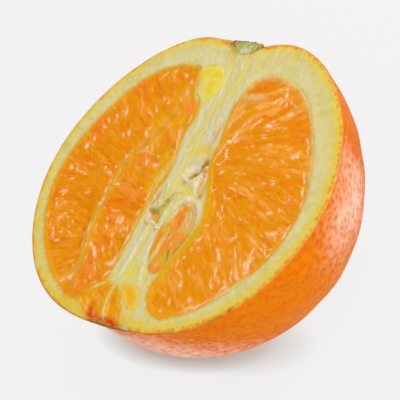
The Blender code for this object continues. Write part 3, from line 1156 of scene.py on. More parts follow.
@dataclass
class CutFace:
    """The cut peel, pith, core and membranes, with openings where the pulp lies.

    Attributes:
        segments: The pieces that lie in it.
        hollows: Open hollows of the core: middle x and y, length, width, degrees, depth.
        cells: Grid cells from the middle to a side.
        keep: How far it reaches under a piece's edge.
        crowding: Power that draws grid cells together towards the rim.
        rim_radius: Radius at which steps round the rim are millimetres.
        gland_gap: Distance between the oil glands along the rim.
        join_width: Width of the flesh that joins the pieces at the navel.
        brightness: How bright its colours are.
    """

    segments: tuple[Segment, ...]
    hollows: tuple[tuple[float, ...], ...] = (
        (2.6, 3.0, 5.0, 2.8, 46.0, 0.9), (-2.3, -8.6, 3.4, 2.0, -30.0, 0.7))
    cells: int = 195
    keep: float = 0.8
    crowding: float = 1.12
    rim_radius: float = 37.0
    gland_gap: float = 1.5
    join_width: float = 2.6
    brightness: float = 0.94

    def build(self) -> bpy.types.Object:
        """Build and dress the face.

        Returns:
            The object.
        """
        share, angle = square_in_disc(self.cells)
        angle = np.where(angle > math.pi, angle - TURN, angle)
        share = 1.0 - (1.0 - share) ** self.crowding
        reach = PLAN.outside(math.pi / 2 - angle) * SHRINK
        canvas = Canvas(share * reach * np.cos(angle), share * reach * np.sin(angle))
        rim = PLAN.rim_distance(canvas.x, canvas.y)
        inside, pulp = np.full_like(canvas.x, -FAR_OUT), np.full_like(canvas.x, -FAR_OUT)
        stain = rough_noise(canvas.x / 0.9, canvas.y / 0.9, 37)
        stains = []
        for segment in self.segments:
            own = segment.outline.inside(canvas.x, canvas.y)
            np.maximum(inside, own, out=inside)
            if segment.slot is Slot.PULP:
                np.maximum(pulp, own, out=pulp)
            else:
                stains.append((segment.ground, 0.5 * smooth(-1.2, 0.1, own + 0.6 * stain)))
        self.paint_pith(canvas, rim, inside)
        self.paint_core(canvas)
        self.paint_joins(canvas, pulp)
        for hue, mask in stains:
            canvas.lay(hue, mask)
        canvas.draw(MEMBRANE_MARKS + NAVEL_MARKS + RIM_MARKS)
        canvas.tint *= self.brightness
        canvas.relief = np.minimum(canvas.relief - 0.1, -0.01)
        canvas.relief -= 0.05 * smooth(-0.35, 0.0, pulp) + 0.3 * np.clip(inside, 0.0, None)
        canvas.relief -= 0.6 * np.clip(inside - 0.25, 0.0, None)
        canvas.relief -= 0.6 * smooth(-0.1, 0.3, StemButton().half_width(canvas.y) - np.abs(canvas.x))
        canvas.relief -= 0.28 * fall(0.0, 0.5, rim)
        surface = canvas.surface(canvas.relief, grid_quads(*canvas.x.shape))
        surface = surface.trimmed(inside.ravel() < self.keep)
        return surface.to_piece("pith_and_core", Slot.PITH, ("peel_and_core",))

    def paint_pith(self, canvas: Canvas, rim: Array, inside: Array) -> None:
        """Colour the pith from the zest inwards.

        Args:
            canvas: The surface.
            rim: Distance from the rim.
            inside: Distance into the nearest piece of pulp.
        """
        x, y = canvas.x, canvas.y
        round_rim = np.arctan2(x, y) * self.rim_radius
        patch = rough_noise(x / 5.0, y / 5.0, 21)
        ray = noise(round_rim / 0.7, rim / 2.6, 22)
        speck, spot = rough_noise(x / 0.7, y / 0.7, 25), rough_noise(x / 1.7, y / 1.7, 26)
        canvas.lay(Hue.PITH_WHITE, 0.7 * smooth(-0.2, 0.5, patch + 0.6 * spot))
        canvas.lay(Hue.PITH_GREEN, 0.7 * smooth(0.0, 0.6, -patch - 0.5 * spot))
        canvas.lay(Hue.PITH_PALE, 0.55 * bell(inside + 1.6, 1.3) * smooth(-0.4, 0.4, spot + 0.5 * ray))
        canvas.lay(Hue.PITH_WHITE, 0.4 * smooth(0.0, 0.8, ray + 0.5 * speck))
        fleck = 0.8 * speck + 0.5 * noise(round_rim / 0.45, rim / 1.4, 28)
        canvas.lay(Hue.PITH_PALE, 0.6 * smooth(0.15, 0.8, fleck))
        outer = fall(1.5, 4.8, rim + 1.2 * spot)
        canvas.lay(Hue.FIBRE_YELLOW, 0.75 * outer * smooth(-0.2, 0.5, spot + 0.5 * ray))
        canvas.lay(Hue.HONEY, 0.25 * smooth(0.2, 0.8, speck) * (0.3 + 0.7 * outer))
        canvas.relief += 0.03 * ray * smooth(1.0, 3.0, rim) + 0.06 * patch + 0.05 * speck + 0.04 * spot
        wave = rim + 0.6 * noise(round_rim / 1.6, rim / 2.0, 23)
        wave = wave + 0.4 * noise(round_rim / 0.6, rim / 0.9, 27)
        warm = 0.6 * smooth(-16.0, 10.0, x - 0.9 * y)
        canvas.lay(Hue.ALBEDO_YELLOW, 0.9 * fall(0.9, 2.4, wave - warm))
        canvas.lay(Hue.GLAND, 0.8 * fall(0.3, 0.9, wave))
        canvas.lay(Hue.ZEST, fall(0.12, 0.42, rim + 0.08 * ray))
        cell = np.floor(round_rim / self.gland_gap)
        for k in (-1, 0, 1):
            chance = scatter(cell + k, np.zeros_like(cell), 24)
            size = 0.35 + 0.85 * scatter(cell + k, np.ones_like(cell), 24)
            offset = round_rim - (cell + k + 0.15 + 0.7 * chance) * self.gland_gap
            gland = bell(offset, 0.36 * size) * bell(rim - 0.55 - 0.35 * chance, 0.34 * size)
            canvas.lay(Hue.ORANGE_SPOT, (0.3 + 0.55 * smooth(-12.0, 14.0, x)) * gland)
            canvas.relief -= 0.05 * gland
        canvas.wet_and_sheen = 0.35 + 0.2 * smooth(-0.3, 0.5, patch)
        green = StemButton().half_width(y) - np.abs(x + 0.4)
        canvas.lay(Hue.OLIVE, 0.7 * smooth(-2.0, 0.0, green + 0.5 * spot) * smooth(29.6, 31.6, y))

    def paint_joins(self, canvas: Canvas, inside: Array) -> None:
        """Lay a film of pulp over the thin membranes and the pith's edges.

        The film is the left pulp's own pattern. It covers the membrane between the two left
        pieces, wholly above the middle and in part below, and thins out from each piece's
        edge outwards.

        Args:
            canvas: The surface.
            inside: Distance into the nearest piece of pulp.
        """
        film, x, y = Canvas(canvas.x, canvas.y), canvas.x, canvas.y
        PULP_LEFT.paint(film)
        film.draw(LEFT_MARKS[-1:] + INNER_MARKS[1:])
        middle = np.interp(y, *MEMBRANE_COURSE)
        ragged = rough_noise(x / 0.9, y / 1.6, 38)
        span = fall(1.2, 2.0, np.abs(x - middle) + 0.3 * ragged)
        span *= fall(23.0, 26.0, y)
        span *= smooth(-32.5, -30.5, y)
        cover = span * (0.9 + 0.1 * smooth(-2.0, 3.0, y) + 0.2 * ragged)
        clear = 1.0 - 0.9 * bell(np.hypot((x - 8.2) / 3.6, (y + 6.8) / 3.6), 1.0)
        rim_film = 0.75 * clear * smooth(-0.75, -0.05, inside + 0.25 * ragged)
        canvas.melt(film, np.clip(np.maximum(cover, rim_film), 0.0, 1.0))
        clear = clear * (1.0 - 0.85 * span * smooth(1.0, 6.0, y))
        canvas.lay(Hue.OCHRE, 0.45 * clear * bell(inside + 0.45 + 0.3 * ragged, 0.4))
        core_side = smooth(-1.2, -0.1, inside + 0.3 * ragged)
        core_side *= fall(10.0, 13.0, np.abs(x - 2.0))
        canvas.lay(Hue.OCHRE, 0.5 * core_side * fall(22.0, 26.0, y))
        for line in NAVEL_JOINS:
            join = canvas.stroke(line, self.join_width, None)
            canvas.lay(Hue.AMBER, 0.9 * smooth(0.0, 0.5, join))

    def paint_core(self, canvas: Canvas) -> None:
        """Colour the core: fibres along it, hollows with painted shade in them, membranes and torn bits.

        Args:
            canvas: The surface.
        """
        x, y = canvas.x, canvas.y
        heights, middles, halves = CORE_COURSE
        middle, half = np.interp(y, heights, middles), np.interp(y, heights, halves)
        core = fall(0.75, 1.15, np.abs(x - middle) / half) * smooth(-34.0, -30.0, y)
        core *= fall(28.0, 33.0, y)
        bend = 0.8 * noise(x / 4.0, y / 7.0, 31)
        fibre = rough_noise((x + bend) * 0.9, y * 0.09, 32)
        other = rough_noise((x + bend) * 1.3, y * 0.12 + 9.0, 33)
        canvas.lay(Hue.BEIGE, 0.5 * core)
        canvas.lay(Hue.GREY, 0.5 * core * smooth(0.05, 0.5, fibre))
        canvas.lay(Hue.FIBRE_YELLOW, 0.6 * core * smooth(0.1, 0.5, other))
        hair = rough_noise((x + bend + 0.3 * noise(x, y, 35)) / 0.45, y / 2.4, 34)
        fleck = rough_noise(x / 0.55, y / 0.75, 36)
        canvas.relief += core * (0.10 * fibre + 0.06 * other + 0.09 * hair + 0.05 * fleck - 0.2)
        canvas.wet_and_sheen = canvas.wet_and_sheen + 0.25 * core
        self.weave(canvas, 0.3 + 0.7 * core, hair, fleck)
        for x0, y0, length, width, turn, depth in self.hollows:
            canvas.blot((x0, y0), (length, width), turn, None, 1.0, 0.2 - depth, 0.6)
        canvas.draw(CORE_MARKS + STEM_MARKS)
        self.weave(canvas, 0.35 * core, hair, fleck)
        canvas.lay(Hue.FIBRE_YELLOW, 0.34 * core * smooth(-0.4, 0.6, other))
        # The hollows' colours, with painted shade on their walls.
        canvas.draw(HOLLOW_MARKS)

    def weave(self, canvas: Canvas, amount: Array, hair: Array, fleck: Array) -> None:
        """Vary the colour in fine threads and flecks.

        Args:
            canvas: The surface.
            amount: How much, from 0 to 1.
            hair: Threads along the core.
            fleck: Flecks.
        """
        canvas.lay(Hue.WHITE, 0.30 * amount * smooth(0.15, 0.8, hair))
        canvas.lay(Hue.HONEY, 0.30 * amount * smooth(0.15, 0.8, -hair))
        canvas.lay(Hue.FIBRE_YELLOW, 0.45 * amount * smooth(0.1, 0.7, fleck))
        canvas.lay(Hue.BEIGE, 0.35 * amount * smooth(0.1, 0.7, -fleck))


@dataclass
class RindSkin:
    """The peel's outside: the plan's radius turned about the stem axis, below the face.

    Attributes:
        around: Steps from the stem to the navel end.
        across: Steps from one rim over the underside to the other.
        mean_radius: Radius that the dents are measured against.
        curl: Depth below the face over which the rim curls in.
        lip: Depth of the rim's edge below the face.
        dimple: Depth of the navel's dimple.
        dimple_place: Its middle, across and up from the face.
        dimple_size: Half its width and height.
    """

    around: int = 340
    across: int = 170
    mean_radius: float = 38.0
    curl: float = 0.32
    lip: float = 0.30
    dimple: float = 2.4
    dimple_place: Point = (-8.5, -8.0)
    dimple_size: Point = (9.0, 7.0)

    def build(self) -> bpy.types.Object:
        """Build and dress the skin.

        A point is (r sin p cos t, r cos p, -0.995 r sin p sin t) for an angle p from the
        stem and t round it. Noise dents it, a bell-shaped dimple is pushed into the navel
        end, and the rim curls over onto the face.

        Returns:
            The object.
        """
        p = np.linspace(0.0, math.pi, self.around + 1)[:, None]
        t = np.linspace(0.0, math.pi, self.across + 1)[None, :]
        radius = SHRINK * (PLAN.radius(p) + PLAN.lip(-p) * smooth(0.6, 1.0, -np.cos(t)))
        x, y = radius * np.sin(p) * np.cos(t), radius * np.cos(p) + 0.0 * t
        z = -PLAN.depth_ratio * radius * np.sin(p) * np.sin(t)
        dent = 0.22 * rough_noise(x / 7.0 + z / 9.0, y / 7.0 + z / 5.0, 51)
        dent = (dent - 0.25) * smooth(0.0, 1.5, -z) * np.sin(p) - 0.04
        scale = 1.0 + dent / self.mean_radius
        x, y, z = x * scale, y * scale, z * scale
        (middle_x, middle_z), (wide, high) = self.dimple_place, self.dimple_size
        eye = bell(np.hypot((x - middle_x) / wide, (z - middle_z) / high), 0.8) * (y < 0.0)
        y = y + self.dimple * eye * smooth(0.2, 2.5, -z)
        z = np.minimum(z, -self.lip - 0.06 * fall(0.0, self.curl, -z))
        z = np.maximum(z, -PLAN.face_height)
        canvas = Canvas(x, y)
        broad = rough_noise(x / 9.0, (y + z) / 9.0, 52)
        self.paint(canvas, z, broad, bell(p + 0.0 * t, 0.16))
        # The peel's wetness values hold the strength of its painted sheen, a painted reflection.
        canvas.wet_and_sheen = self.painted_sheen(x, y, -z, broad)
        faces = grid_quads(self.around + 1, self.across + 1)[:, ::-1]
        return canvas.surface(z, faces).to_piece("rind_skin", Slot.RIND, ("peel_and_core",))

    def paint(self, canvas: Canvas, z: Array, broad: Array, stem: Array) -> None:
        """Colour the peel: zest in mottled patches, gland colour at the rim and stem, a scar at the navel; at
        the rim it is partly painted light on the shaded curl.

        Args:
            canvas: The surface.
            z: Height from the face.
            broad: Broad noise.
            stem: How near the stem a place is, 1 at it.
        """
        x, y = canvas.x, canvas.y
        canvas.lay(Hue.ZEST, 1.0)
        canvas.lay(Hue.ZEST_DEEP, 0.4 * smooth(-0.3, 0.6, broad))
        mottle = rough_noise(x / 1.8 + z / 2.6, (y + z) / 1.8, 54)
        canvas.lay(Hue.ORANGE_SPOT, 0.3 * smooth(0.0, 0.6, mottle))
        canvas.lay(Hue.ZEST_DEEP, 0.3 * smooth(0.0, 0.6, -mottle))
        # Paler gland colour along the rim's curl: partly the zest's own paler edge, partly painted light that
        # lifts the shade on the curl.
        canvas.lay(Hue.GLAND, 0.6 * fall(0.35, 0.8, -z))
        canvas.lay(Hue.GLAND, 0.6 * stem)
        scar = smooth(-8.0, -6.0, x) * fall(6.0, 8.0, x) * (y < -30.0)
        scar = scar * fall(0.7, 1.6, -z + 0.4 * broad)
        canvas.lay(Hue.DARK_OLIVE, 0.8 * scar)
        canvas.lay(Hue.LILAC, 0.35 * scar * bell(x - 5.2, 0.9))

    def painted_sheen(self, x: Array, y: Array, depth: Array, broad: Array) -> Array:
        """Strength of the painted sheen, a painted reflection: one patch on the right side and one under the
        navel end.

        Each patch is a product of eased ramps along x, y and depth, broken by streaks.

        Args:
            x: Across the fruit.
            y: Towards the stem.
            depth: Depth below the face.
            broad: Broad noise.

        Returns:
            The painted sheen's strength, from 0 to 1.
        """
        streak = rough_noise((y + 0.4 * x) / 0.8, (-depth - 0.6 * x) / 3.0, 53)
        # Painted sheen on the right side of the peel.
        flank_sheen = smooth(-14.0, 6.0, y + 0.45 * np.minimum(depth - 4.0, 6.0))
        flank_sheen = flank_sheen * fall(11.5, 19.0, y) * smooth(20.0, 30.0, x)
        flank_sheen = flank_sheen * smooth(0.3, 1.0, depth) * fall(16.0, 26.0, depth)
        flank_sheen = flank_sheen * (0.68 + 0.38 * smooth(2.5, 8.0, depth) - 0.45 * smooth(10.5, 17.0, depth))
        flank_sheen = flank_sheen * (1.0 - 0.25 * smooth(6.0, 12.0, y) * smooth(3.0, 6.0, depth))
        # Painted sheen under the navel end.
        end = smooth(-8.0, 7.0, depth - 1.0 - 1.6 * (y + 35.3)) * fall(-24.0, -14.0, y)
        end = end * fall(18.0, 26.0, depth) * (1.0 - 0.3 * smooth(10.0, 20.0, x))
        return np.clip((flank_sheen + 0.86 * end) * (0.92 + 0.15 * broad + 0.28 * streak), 0.0, 1.0)


@dataclass
class StemButton:
    """The halved green button in the stem hollow.

    Attributes:
        profile: Distance from the stem axis and height along it, from the tip.
        rows: Steps along the profile.
        steps: Steps round the back, and as many across the cut.
        sunk: How far its cut lies under the knife's plane.
    """

    profile: tuple[Point, ...] = ((0.0, 31.7), (1.5, 32.1), (3.3, 33.3), (4.5, 34.2), (4.6, 34.6),
                                  (3.9, 35.0), (2.2, 35.2), (0.0, 35.2))
    rows: int = 60
    steps: int = 60
    sunk: float = 0.12

    def half_width(self, y: Array) -> Array:
        """Half the width of its cut face at a height, less than nothing below its tip."""
        places = np.array(self.profile[:4])
        return np.interp(y, places[:, 1], places[:, 0], left=-9.0) + np.minimum(y - places[0, 1], 0.0)

    def build(self) -> bpy.types.Object:
        """Build and dress the button: the profile turned half round, and its cut face.

        Returns:
            The object.
        """
        curve = rounded_curve(self.profile, False, 8)
        place = np.linspace(0.0, len(curve) - 1.0, self.rows + 1)
        r = np.maximum(np.interp(place, np.arange(len(curve)), curve[:, 0]), 0.0)[:, None]
        h = np.interp(place, np.arange(len(curve)), curve[:, 1])[:, None]
        t = np.linspace(0.0, TURN, 2 * self.steps + 1)[None, :]
        under = t < math.pi
        x = np.where(under, r * np.cos(t), r * np.interp(t, (math.pi, TURN), (-1.0, 1.0)))
        z = np.where(under, -r * np.sin(t), 0.0) - self.sunk
        ragged = noise(x * 1.1, z * 1.1, 63) + 0.6 * noise(x * 2.6, z * 2.6, 64)
        y = h + (0.2 * ragged - 0.05 * x - 0.1) * smooth(33.6, 34.8, h)
        z = z - np.where(under, 0.0, 0.25 * np.abs(noise(x * 1.5, y * 1.5, 61)) * smooth(0.0, 1.0, r))
        canvas = Canvas(x, y)
        green, fleck = noise(x * 1.2, y * 1.2, 62), noise(x * 3.0, y * 3.0, 65)
        strand = noise((x - 0.8 * y) * 2.4, (x + y) * 0.8, 66)
        canvas.lay(Hue.SAGE, 1.0)
        canvas.lay(Hue.GREEN, 0.8 * smooth(-0.1, 0.6, green) * smooth(0.8, 2.8, np.abs(x + 0.3)))
        canvas.lay(Hue.DARK_GREEN, 0.6 * smooth(0.1, 0.6, fleck) * smooth(1.8, 3.4, np.abs(x)))
        canvas.lay(Hue.DARK_OLIVE, 0.8 * smooth(34.6, 35.2, y + 0.3 * fleck))
        canvas.lay(Hue.CREAM, 0.7 * smooth(0.2, 0.7, strand) * bell(x - 1.0, 2.4) * smooth(32.4, 33.4, y))
        cut = ~under + 0.0 * r
        heart = bell(np.hypot((x + 0.2 - 0.6 * (y - 32.6)) / 1.5, (y - 32.6) / 0.95), 0.9) * cut
        canvas.lay(Hue.GREY, 0.9 * heart)
        canvas.lay(Hue.WHITE, 0.35 * heart * smooth(-0.2, 0.5, fleck))
        canvas.lay(Hue.RUST, 0.85 * smooth(3.4, 4.2, x + 0.4 * fleck))
        canvas.lay(Hue.MAROON, 0.7 * smooth(3.1, 3.9, -x + 0.4 * fleck))
        faces = grid_quads(self.rows + 1, 2 * self.steps + 1)[:, ::-1]
        return canvas.surface(z, faces).to_piece("stem_button_half", Slot.BUTTON, ("stem_button",))


# Studio ---------------------------------------------------------------------------------


@dataclass(frozen=True)
class Studio:
    """Pale floor, soft light and camera.

    Attributes:
        floor_side: Half the floor's side.
        floor_grey: The floor's own grey.
        floor_glow: How strongly it glows, so that it stays pale.
        shade: Colour of the painted shadow where the fruit meets the floor.
        shades: Soft ellipses of painted shadow: middle x and y, place of the full shade, its strength.
        shade_size: Half the length and width of each ellipse.
        shade_turn: Its turn about the vertical, in radians.
        sky: Strength of the light from all round.
        lamps: Lamps: name, place, side and watts.
        target: What the lamps are aimed at.
        eye: Where the camera stands.
        forward: Where it looks.
        up: Which way its top points.
        lens: Its focal length in millimetres.
        film: Width of its film.
    """

    floor_side: float = 4.0
    floor_grey: float = 0.05
    floor_glow: float = 0.8375
    shade: tuple[float, ...] = (0.50, 0.38, 0.32, 1.0)
    shades: tuple[tuple[float, ...], ...] = ((-0.0163, -0.0211, 0.43, 0.87), (-0.006, -0.0195, 0.5, 0.5))
    shade_size: Triple = (0.028, 0.010, 1.0)
    shade_turn: float = 0.11
    sky: float = 0.5
    lamps: tuple[tuple[str, Triple, float, float], ...] = (
        ("key_light", (0.62, 0.42, 0.95), 0.7, 8.5), ("spark_light", (-0.22, 0.72, 0.68), 0.16, 2.2),
        ("fill_light", (0.85, -0.60, 0.22), 0.7, 3.7))
    target: Triple = (0.0, 0.0, 0.03)
    eye: Triple = (0.25445, -0.10907, 0.28995)
    forward: Triple = (-0.6716, 0.2869, -0.6830)
    up: Triple = (-0.1354, 0.8589, 0.4939)
    lens: float = 158.28
    film: float = 36.0

    def build(self) -> None:
        """Build the studio."""
        self.add_floor()
        self.add_sky()
        for name, place, side, watts in self.lamps:
            self.add_lamp(name, place, side, watts)
        self.add_camera()
        bpy.context.scene.view_settings.view_transform = "Standard"

    def add_floor(self) -> None:
        """A wide square of plain matt grey that glows, with a painted shadow of soft ellipses under the
        fruit.
        """
        mesh, side = bpy.data.meshes.new("floor"), self.floor_side
        corners = [(-side, -side, 0.0), (side, -side, 0.0), (side, side, 0.0), (-side, side, 0.0)]
        mesh.from_pydata(corners, [], [(0, 1, 2, 3)])
        floor = bpy.data.objects.new("floor", mesh)
        bpy.context.scene.collection.objects.link(floor)
        bench = Bench("floor_finish")
        coordinates = bench.output("TexCoord", {}, {}, "Object")
        glow = (1.0, 1.0, 1.0, 1.0)
        # Painted shadow: each ellipse turns the floor's glow towards the shade colour.
        for x, y, full, most in self.shades:
            place = bench.output("Mapping", {"vector_type": "TEXTURE"}, {
                "Vector": coordinates, "Location": (x, y, 0.0), "Scale": self.shade_size,
                "Rotation": (0.0, 0.0, self.shade_turn)})
            contact = bench.output("TexGradient", {"gradient_type": "SPHERICAL"}, {"Vector": place})
            glow = bench.mixed(bench.ramp(contact, (0.02, 0.0), (full, most)), glow, self.shade)
        mesh.materials.append(bench.finished({
            "Base Color": (self.floor_grey,) * 3 + (1.0,), "Roughness": 0.9, "Specular IOR Level": 0.0,
            "Emission Color": glow, "Emission Strength": self.floor_glow}))

    def add_sky(self) -> None:
        """Even white light from all round."""
        world = bpy.data.worlds.new("studio_light")
        world.use_nodes = True
        background = world.node_tree.nodes["Background"]
        background.inputs["Color"].default_value = (1.0, 1.0, 1.0, 1.0)
        background.inputs["Strength"].default_value = self.sky
        bpy.context.scene.world = world

    def add_lamp(self, name: str, place: Triple, side: float, watts: float) -> None:
        """A soft square lamp aimed at the fruit.

        Args:
            name: The lamp's name.
            place: Where it hangs.
            side: Its side.
            watts: Its power.
        """
        lamp = bpy.data.lights.new(name, "AREA")
        lamp.size, lamp.energy = side, watts
        obj = bpy.data.objects.new(name, lamp)
        bpy.context.scene.collection.objects.link(obj)
        away = np.array(place) - self.target
        obj.matrix_world = looking(np.array(place), -away, np.array((0.0, 0.0, 1.0)))

    def add_camera(self) -> None:
        """A long lens, turned about its axis so that the fruit seems to stand on edge."""
        camera = bpy.data.objects.new("camera", bpy.data.cameras.new("camera"))
        camera.data.lens, camera.data.sensor_width = self.lens, self.film
        bpy.context.scene.collection.objects.link(camera)
        camera.matrix_world = looking(*map(np.array, (self.eye, self.forward, self.up)))
        bpy.context.scene.camera = camera


def looking(place: Array, forward: Array, up: Array) -> Matrix:
    """The place and turn of something that looks along a direction.

    Args:
        place: Where it is.
        forward: Where it looks.
        up: Which way is up.

    Returns:
        Its matrix, with columns right, up and backwards.
    """
    back = -forward / np.linalg.norm(forward)
    right = np.cross(up, back)
    right = right / np.linalg.norm(right)
    columns = np.stack([right, np.cross(back, right), back, place], axis=1)
    return Matrix(np.vstack([columns, [0.0, 0.0, 0.0, 1.0]]).tolist())


# Assembly -------------------------------------------------------------------------------

# Each flow of juice sacs: a seed, then places with the degrees that the sacs lie at.
PULP_RIGHT = Vesicles(101, ((10, 24, 20), (8, 14, 30), (12, 12, 8), (22, 22, 42), (30, 12, 12),
    (14, 6, 2), (26, 4, -3), (18, -2, -12), (32, -5, -18), (12.5, -6, -62), (21, -8, -32), (28, -10, -30),
    (16, -14, -58), (24, -15, -48), (18, -21, -50), (12, -20, -45), (25, -22, -60),
    (14, -28, -35)), tone=0.54)
PULP_LEFT = Vesicles(201, ((-12, 24, -50), (-20, 22, 130), (-28, 15, 150), (-16, 12, -35), (-25, 6, -25),
    (-33, 2, -20), (-22, -4, -18), (-32, -8, 5), (-23, -13, -8), (-29, -17, -20), (-23, -21, 18),
    (-19, -27, 35)), tone=0.44)
PULP_INNER = Vesicles(301, ((-8, 14, -60), (-8, 6, -40), (-14, 4, -35), (-10, -2, -20), (-15, -6, -12),
    (-9, -12, -20), (-14, -14, -12), (-10, -20, -45), (-13, -26, -35)), spacing=1.8, tone=0.43)
PULP_SMALL = Vesicles(401, ((5, -8, 100), (5, -18, 80), (-8, -30, 160), (0, -31, 120)), spacing=1.7)

# The core's course: heights, middles at them and half widths.
CORE_COURSE = ((-30, -20, -8, 2, 14, 30), (-1, -2, 0.5, 1.5, 0.3, -0.5), (7, 7, 8, 6, 5.5, 4.5))
RIGHT_MARKS = (
    Marks(Hue.PULP_DEEP, 0.8, -0.05, blots=((9.7, 24.6, 8, 28, 3),)),
    Marks(Hue.TAN, 0.75, -0.02, blots=((8.6, 21.5, 7.6, 8, 1.9), (6.4, 19, 4, 60, 2.6),
        (5.9, 15.6, 5, 84, 2))),
    Marks(Hue.UMBER, 0.6, -0.08, 0.1, lines=((0.6, 5.8, 22.6, 8.2, 22.7, 10.6, 23.2, 13.2, 24),
        (0.35, 6.6, 20.6, 8.4, 20.7, 10.6, 21.3))),
    Marks(Hue.BEIGE, 0.5, 0.08, 0.1, lines=((0.6, 5.9, 21.6, 7.8, 21.8, 9.8, 22.2, 11.8, 22.8,
        13.8, 23.6), (0.35, 7, 20.9, 9.4, 21.3, 12.2, 22.2))),
    Marks(Hue.PEACH, 0.6, 0.05, blots=((6.3, 18.6, 2.4, 40, 1), (7.4, 17.2, 2.6, 60, 0.9),
        (6, 15, 2.4, 85, 0.9))),
    Marks(Hue.PEACH, 0.5, 0.03, blots=((13.6, 20.4, 7, 24, 1.4), (12, 17.6, 6, 32, 1.2),
        (17, 22, 5, 18, 1.2), (10, 13.8, 5, 40, 1.2), (19.6, 18, 5, 20, 1.4))),
    # Painted highlight: a broad peach glint on the pulp.
    Marks(Hue.PEACH, 0.55, 0.03, blots=((15.6, 19.2, 4.2, 28, 1.8),)),
    Marks(Hue.ZEST, 0.55, -0.08, blots=((10.8, 23.4, 5.5, 22, 0.9),)),
    Marks(Hue.AMBER, 0.6, blots=((11.8, -6, 9, 100, 2.6), (8, -24, 9, 82, 2.6), (12, -29.6, 8, -5, 2.2))),
    Marks(Hue.PULP_RED, 0.5, -0.03, blots=((25, 15, 7, -20, 4), (30.5, -1, 4.5, 60, 3)),
        dashes=((18.2, 19.3, 1.6, 30, 1.3), (18.6, 18.6, 1, 80, 0.9))),
    # Painted highlights: the pink and salmon glints below.
    Marks(Hue.PINK_HIGHLIGHT, 0.6, 0.07, dashes=((30.6, -0.9, 2.4, 40, 0.9), (29, 0.3, 1.4, -50, 0.6),
        (33.2, -4, 1.6, 85, 0.5), (29.4, 2.4, 1.3, 20, 0.5), (27.4, 13.4, 1.2, -60, 0.5),
        (19, 22, 1.5, -50, 0.5), (23.7, -22.8, 2.6, 42, 0.9))),
    Marks(Hue.SALMON_HIGHLIGHT, 0.85, 0.09, dashes=((14.8, 24.1, 1, -30, 0.6), (17, 23.3, 1.6, -60, 0.5),
        (16.4, 24.6, 0.9, 20, 0.4), (19.3, 21.6, 1, -50, 0.5), (20.7, 21, 0.9, -30, 0.4),
        (20.4, 18.8, 1.5, 20, 1), (15.5, 21.6, 2.2, 48, 0.45), (16.6, 21.3, 1.6, 60, 0.4),
        (18, 20.9, 1.2, -65, 0.5), (9.6, 15, 1.5, 60, 0.6), (10.9, 16, 1.1, 60, 0.6),
        (12.6, 15.2, 2.4, 55, 0.45), (13.5, 16.2, 1.7, 50, 0.4), (16.2, 15.3, 1.9, 15, 0.9),
        (17, 16.5, 1.2, 10, 0.4), (8.6, 12, 2.6, 70, 0.8), (9.6, 11.2, 1.6, 40, 0.9),
        (7.8, 10.6, 1.4, -10, 0.6), (8.6, 8.1, 1.8, -60, 0.6), (9.2, 7.1, 1, -30, 0.6),
        (6.9, 8.6, 3.4, 84, 0.3), (8.9, 6, 2, 30, 0.3), (8.1, 5, 1.4, 10, 0.4),
        (19.1, 10.9, 1.1, -20, 0.6), (27, 9.6, 1.5, 70, 0.8), (26.3, 9, 0.9, 10, 0.7),
        (18.2, 7.5, 1, 0, 0.6), (29.2, 11.2, 3.2, -62, 0.3), (28.1, 13.4, 1.4, -50, 0.4),
        (31.2, 5.6, 2.6, -60, 0.4), (31.9, 4.3, 0.9, -50, 0.5), (33, 1.8, 2.4, -60, 0.5),
        (33.7, -0.8, 2.2, -86, 0.4), (24.3, 2.7, 0.9, 30, 0.4), (22.1, 2.3, 1, 0, 0.4),
        (27, 4.9, 1.6, -10, 0.4), (9.7, 3.1, 1, 50, 0.5), (10.4, -1, 0.9, 20, 0.4),
        (29.5, -1.1, 0.7, 0, 0.5), (30.3, 0, 0.8, 40, 0.4), (27.1, -4, 1.5, 5, 0.6),
        (29.2, -3, 0.8, -40, 0.5), (33.4, -7.4, 3.2, 78, 0.5), (30.2, -8.3, 1.9, 20, 1.1),
        (31.2, -8.9, 1.6, -55, 0.4), (30.5, -12.4, 1.9, -65, 0.4), (31.4, -11.4, 1.3, 10, 0.3),
        (32, -12.6, 1.6, 75, 0.3), (31.2, -13.3, 1, 20, 0.3), (27.3, -12.8, 2, 85, 0.6),
        (28, -15.6, 3.6, 100, 0.9), (27.2, -16, 2.2, -60, 0.5), (25.9, -17.9, 3.4, -65, 0.4),
        (26.8, -18.6, 2.6, -55, 0.35), (28.2, -17.8, 2, 35, 0.4), (24.9, -18.9, 2.4, -60, 0.35),
        (23.6, -14.4, 3, -60, 0.4), (22.8, -13, 1.6, -65, 0.3), (19.6, -15.2, 3, -58, 0.6),
        (18.4, -13.8, 1, -40, 0.4), (20.9, -11, 1.5, 30, 0.8), (21.4, -10, 1.2, -60, 0.3),
        (14.6, -4.6, 2, -60, 0.3), (14, -6, 1.6, -70, 0.4), (15.1, -6.6, 1.6, -60, 0.3),
        (12.8, -9.3, 1, 0, 0.5), (12.7, -12.4, 1.2, 60, 0.7), (13.7, -14.4, 1.2, 10, 0.5),
        (11.9, -15, 1, -40, 0.4), (10, -18.7, 1.4, 80, 0.5), (11, -17.1, 0.8, 30, 0.4),
        (20.7, -18.8, 2.4, -70, 0.4), (21.3, -21.7, 2, -60, 0.4), (20.5, -20.6, 1.4, -75, 0.3),
        (22.6, -20.4, 2, -55, 0.3), (24.3, -20.6, 1.8, -60, 0.35), (13.6, -23, 1.6, -75, 0.7),
        (12.6, -27, 1.4, -65, 0.5), (11.4, -29.2, 0.9, -50, 0.4), (17.7, -25.9, 1, 10, 0.5),
        (18, -27.5, 1.6, 60, 0.4), (19.2, -27.4, 1.6, -30, 0.5), (18.6, -28.4, 1.6, 10, 0.3),
        (20.6, -26.8, 1.8, 40, 0.6), (22, -25.4, 2.4, 44, 0.4), (24.6, -21.9, 2, 40, 0.5))),
)
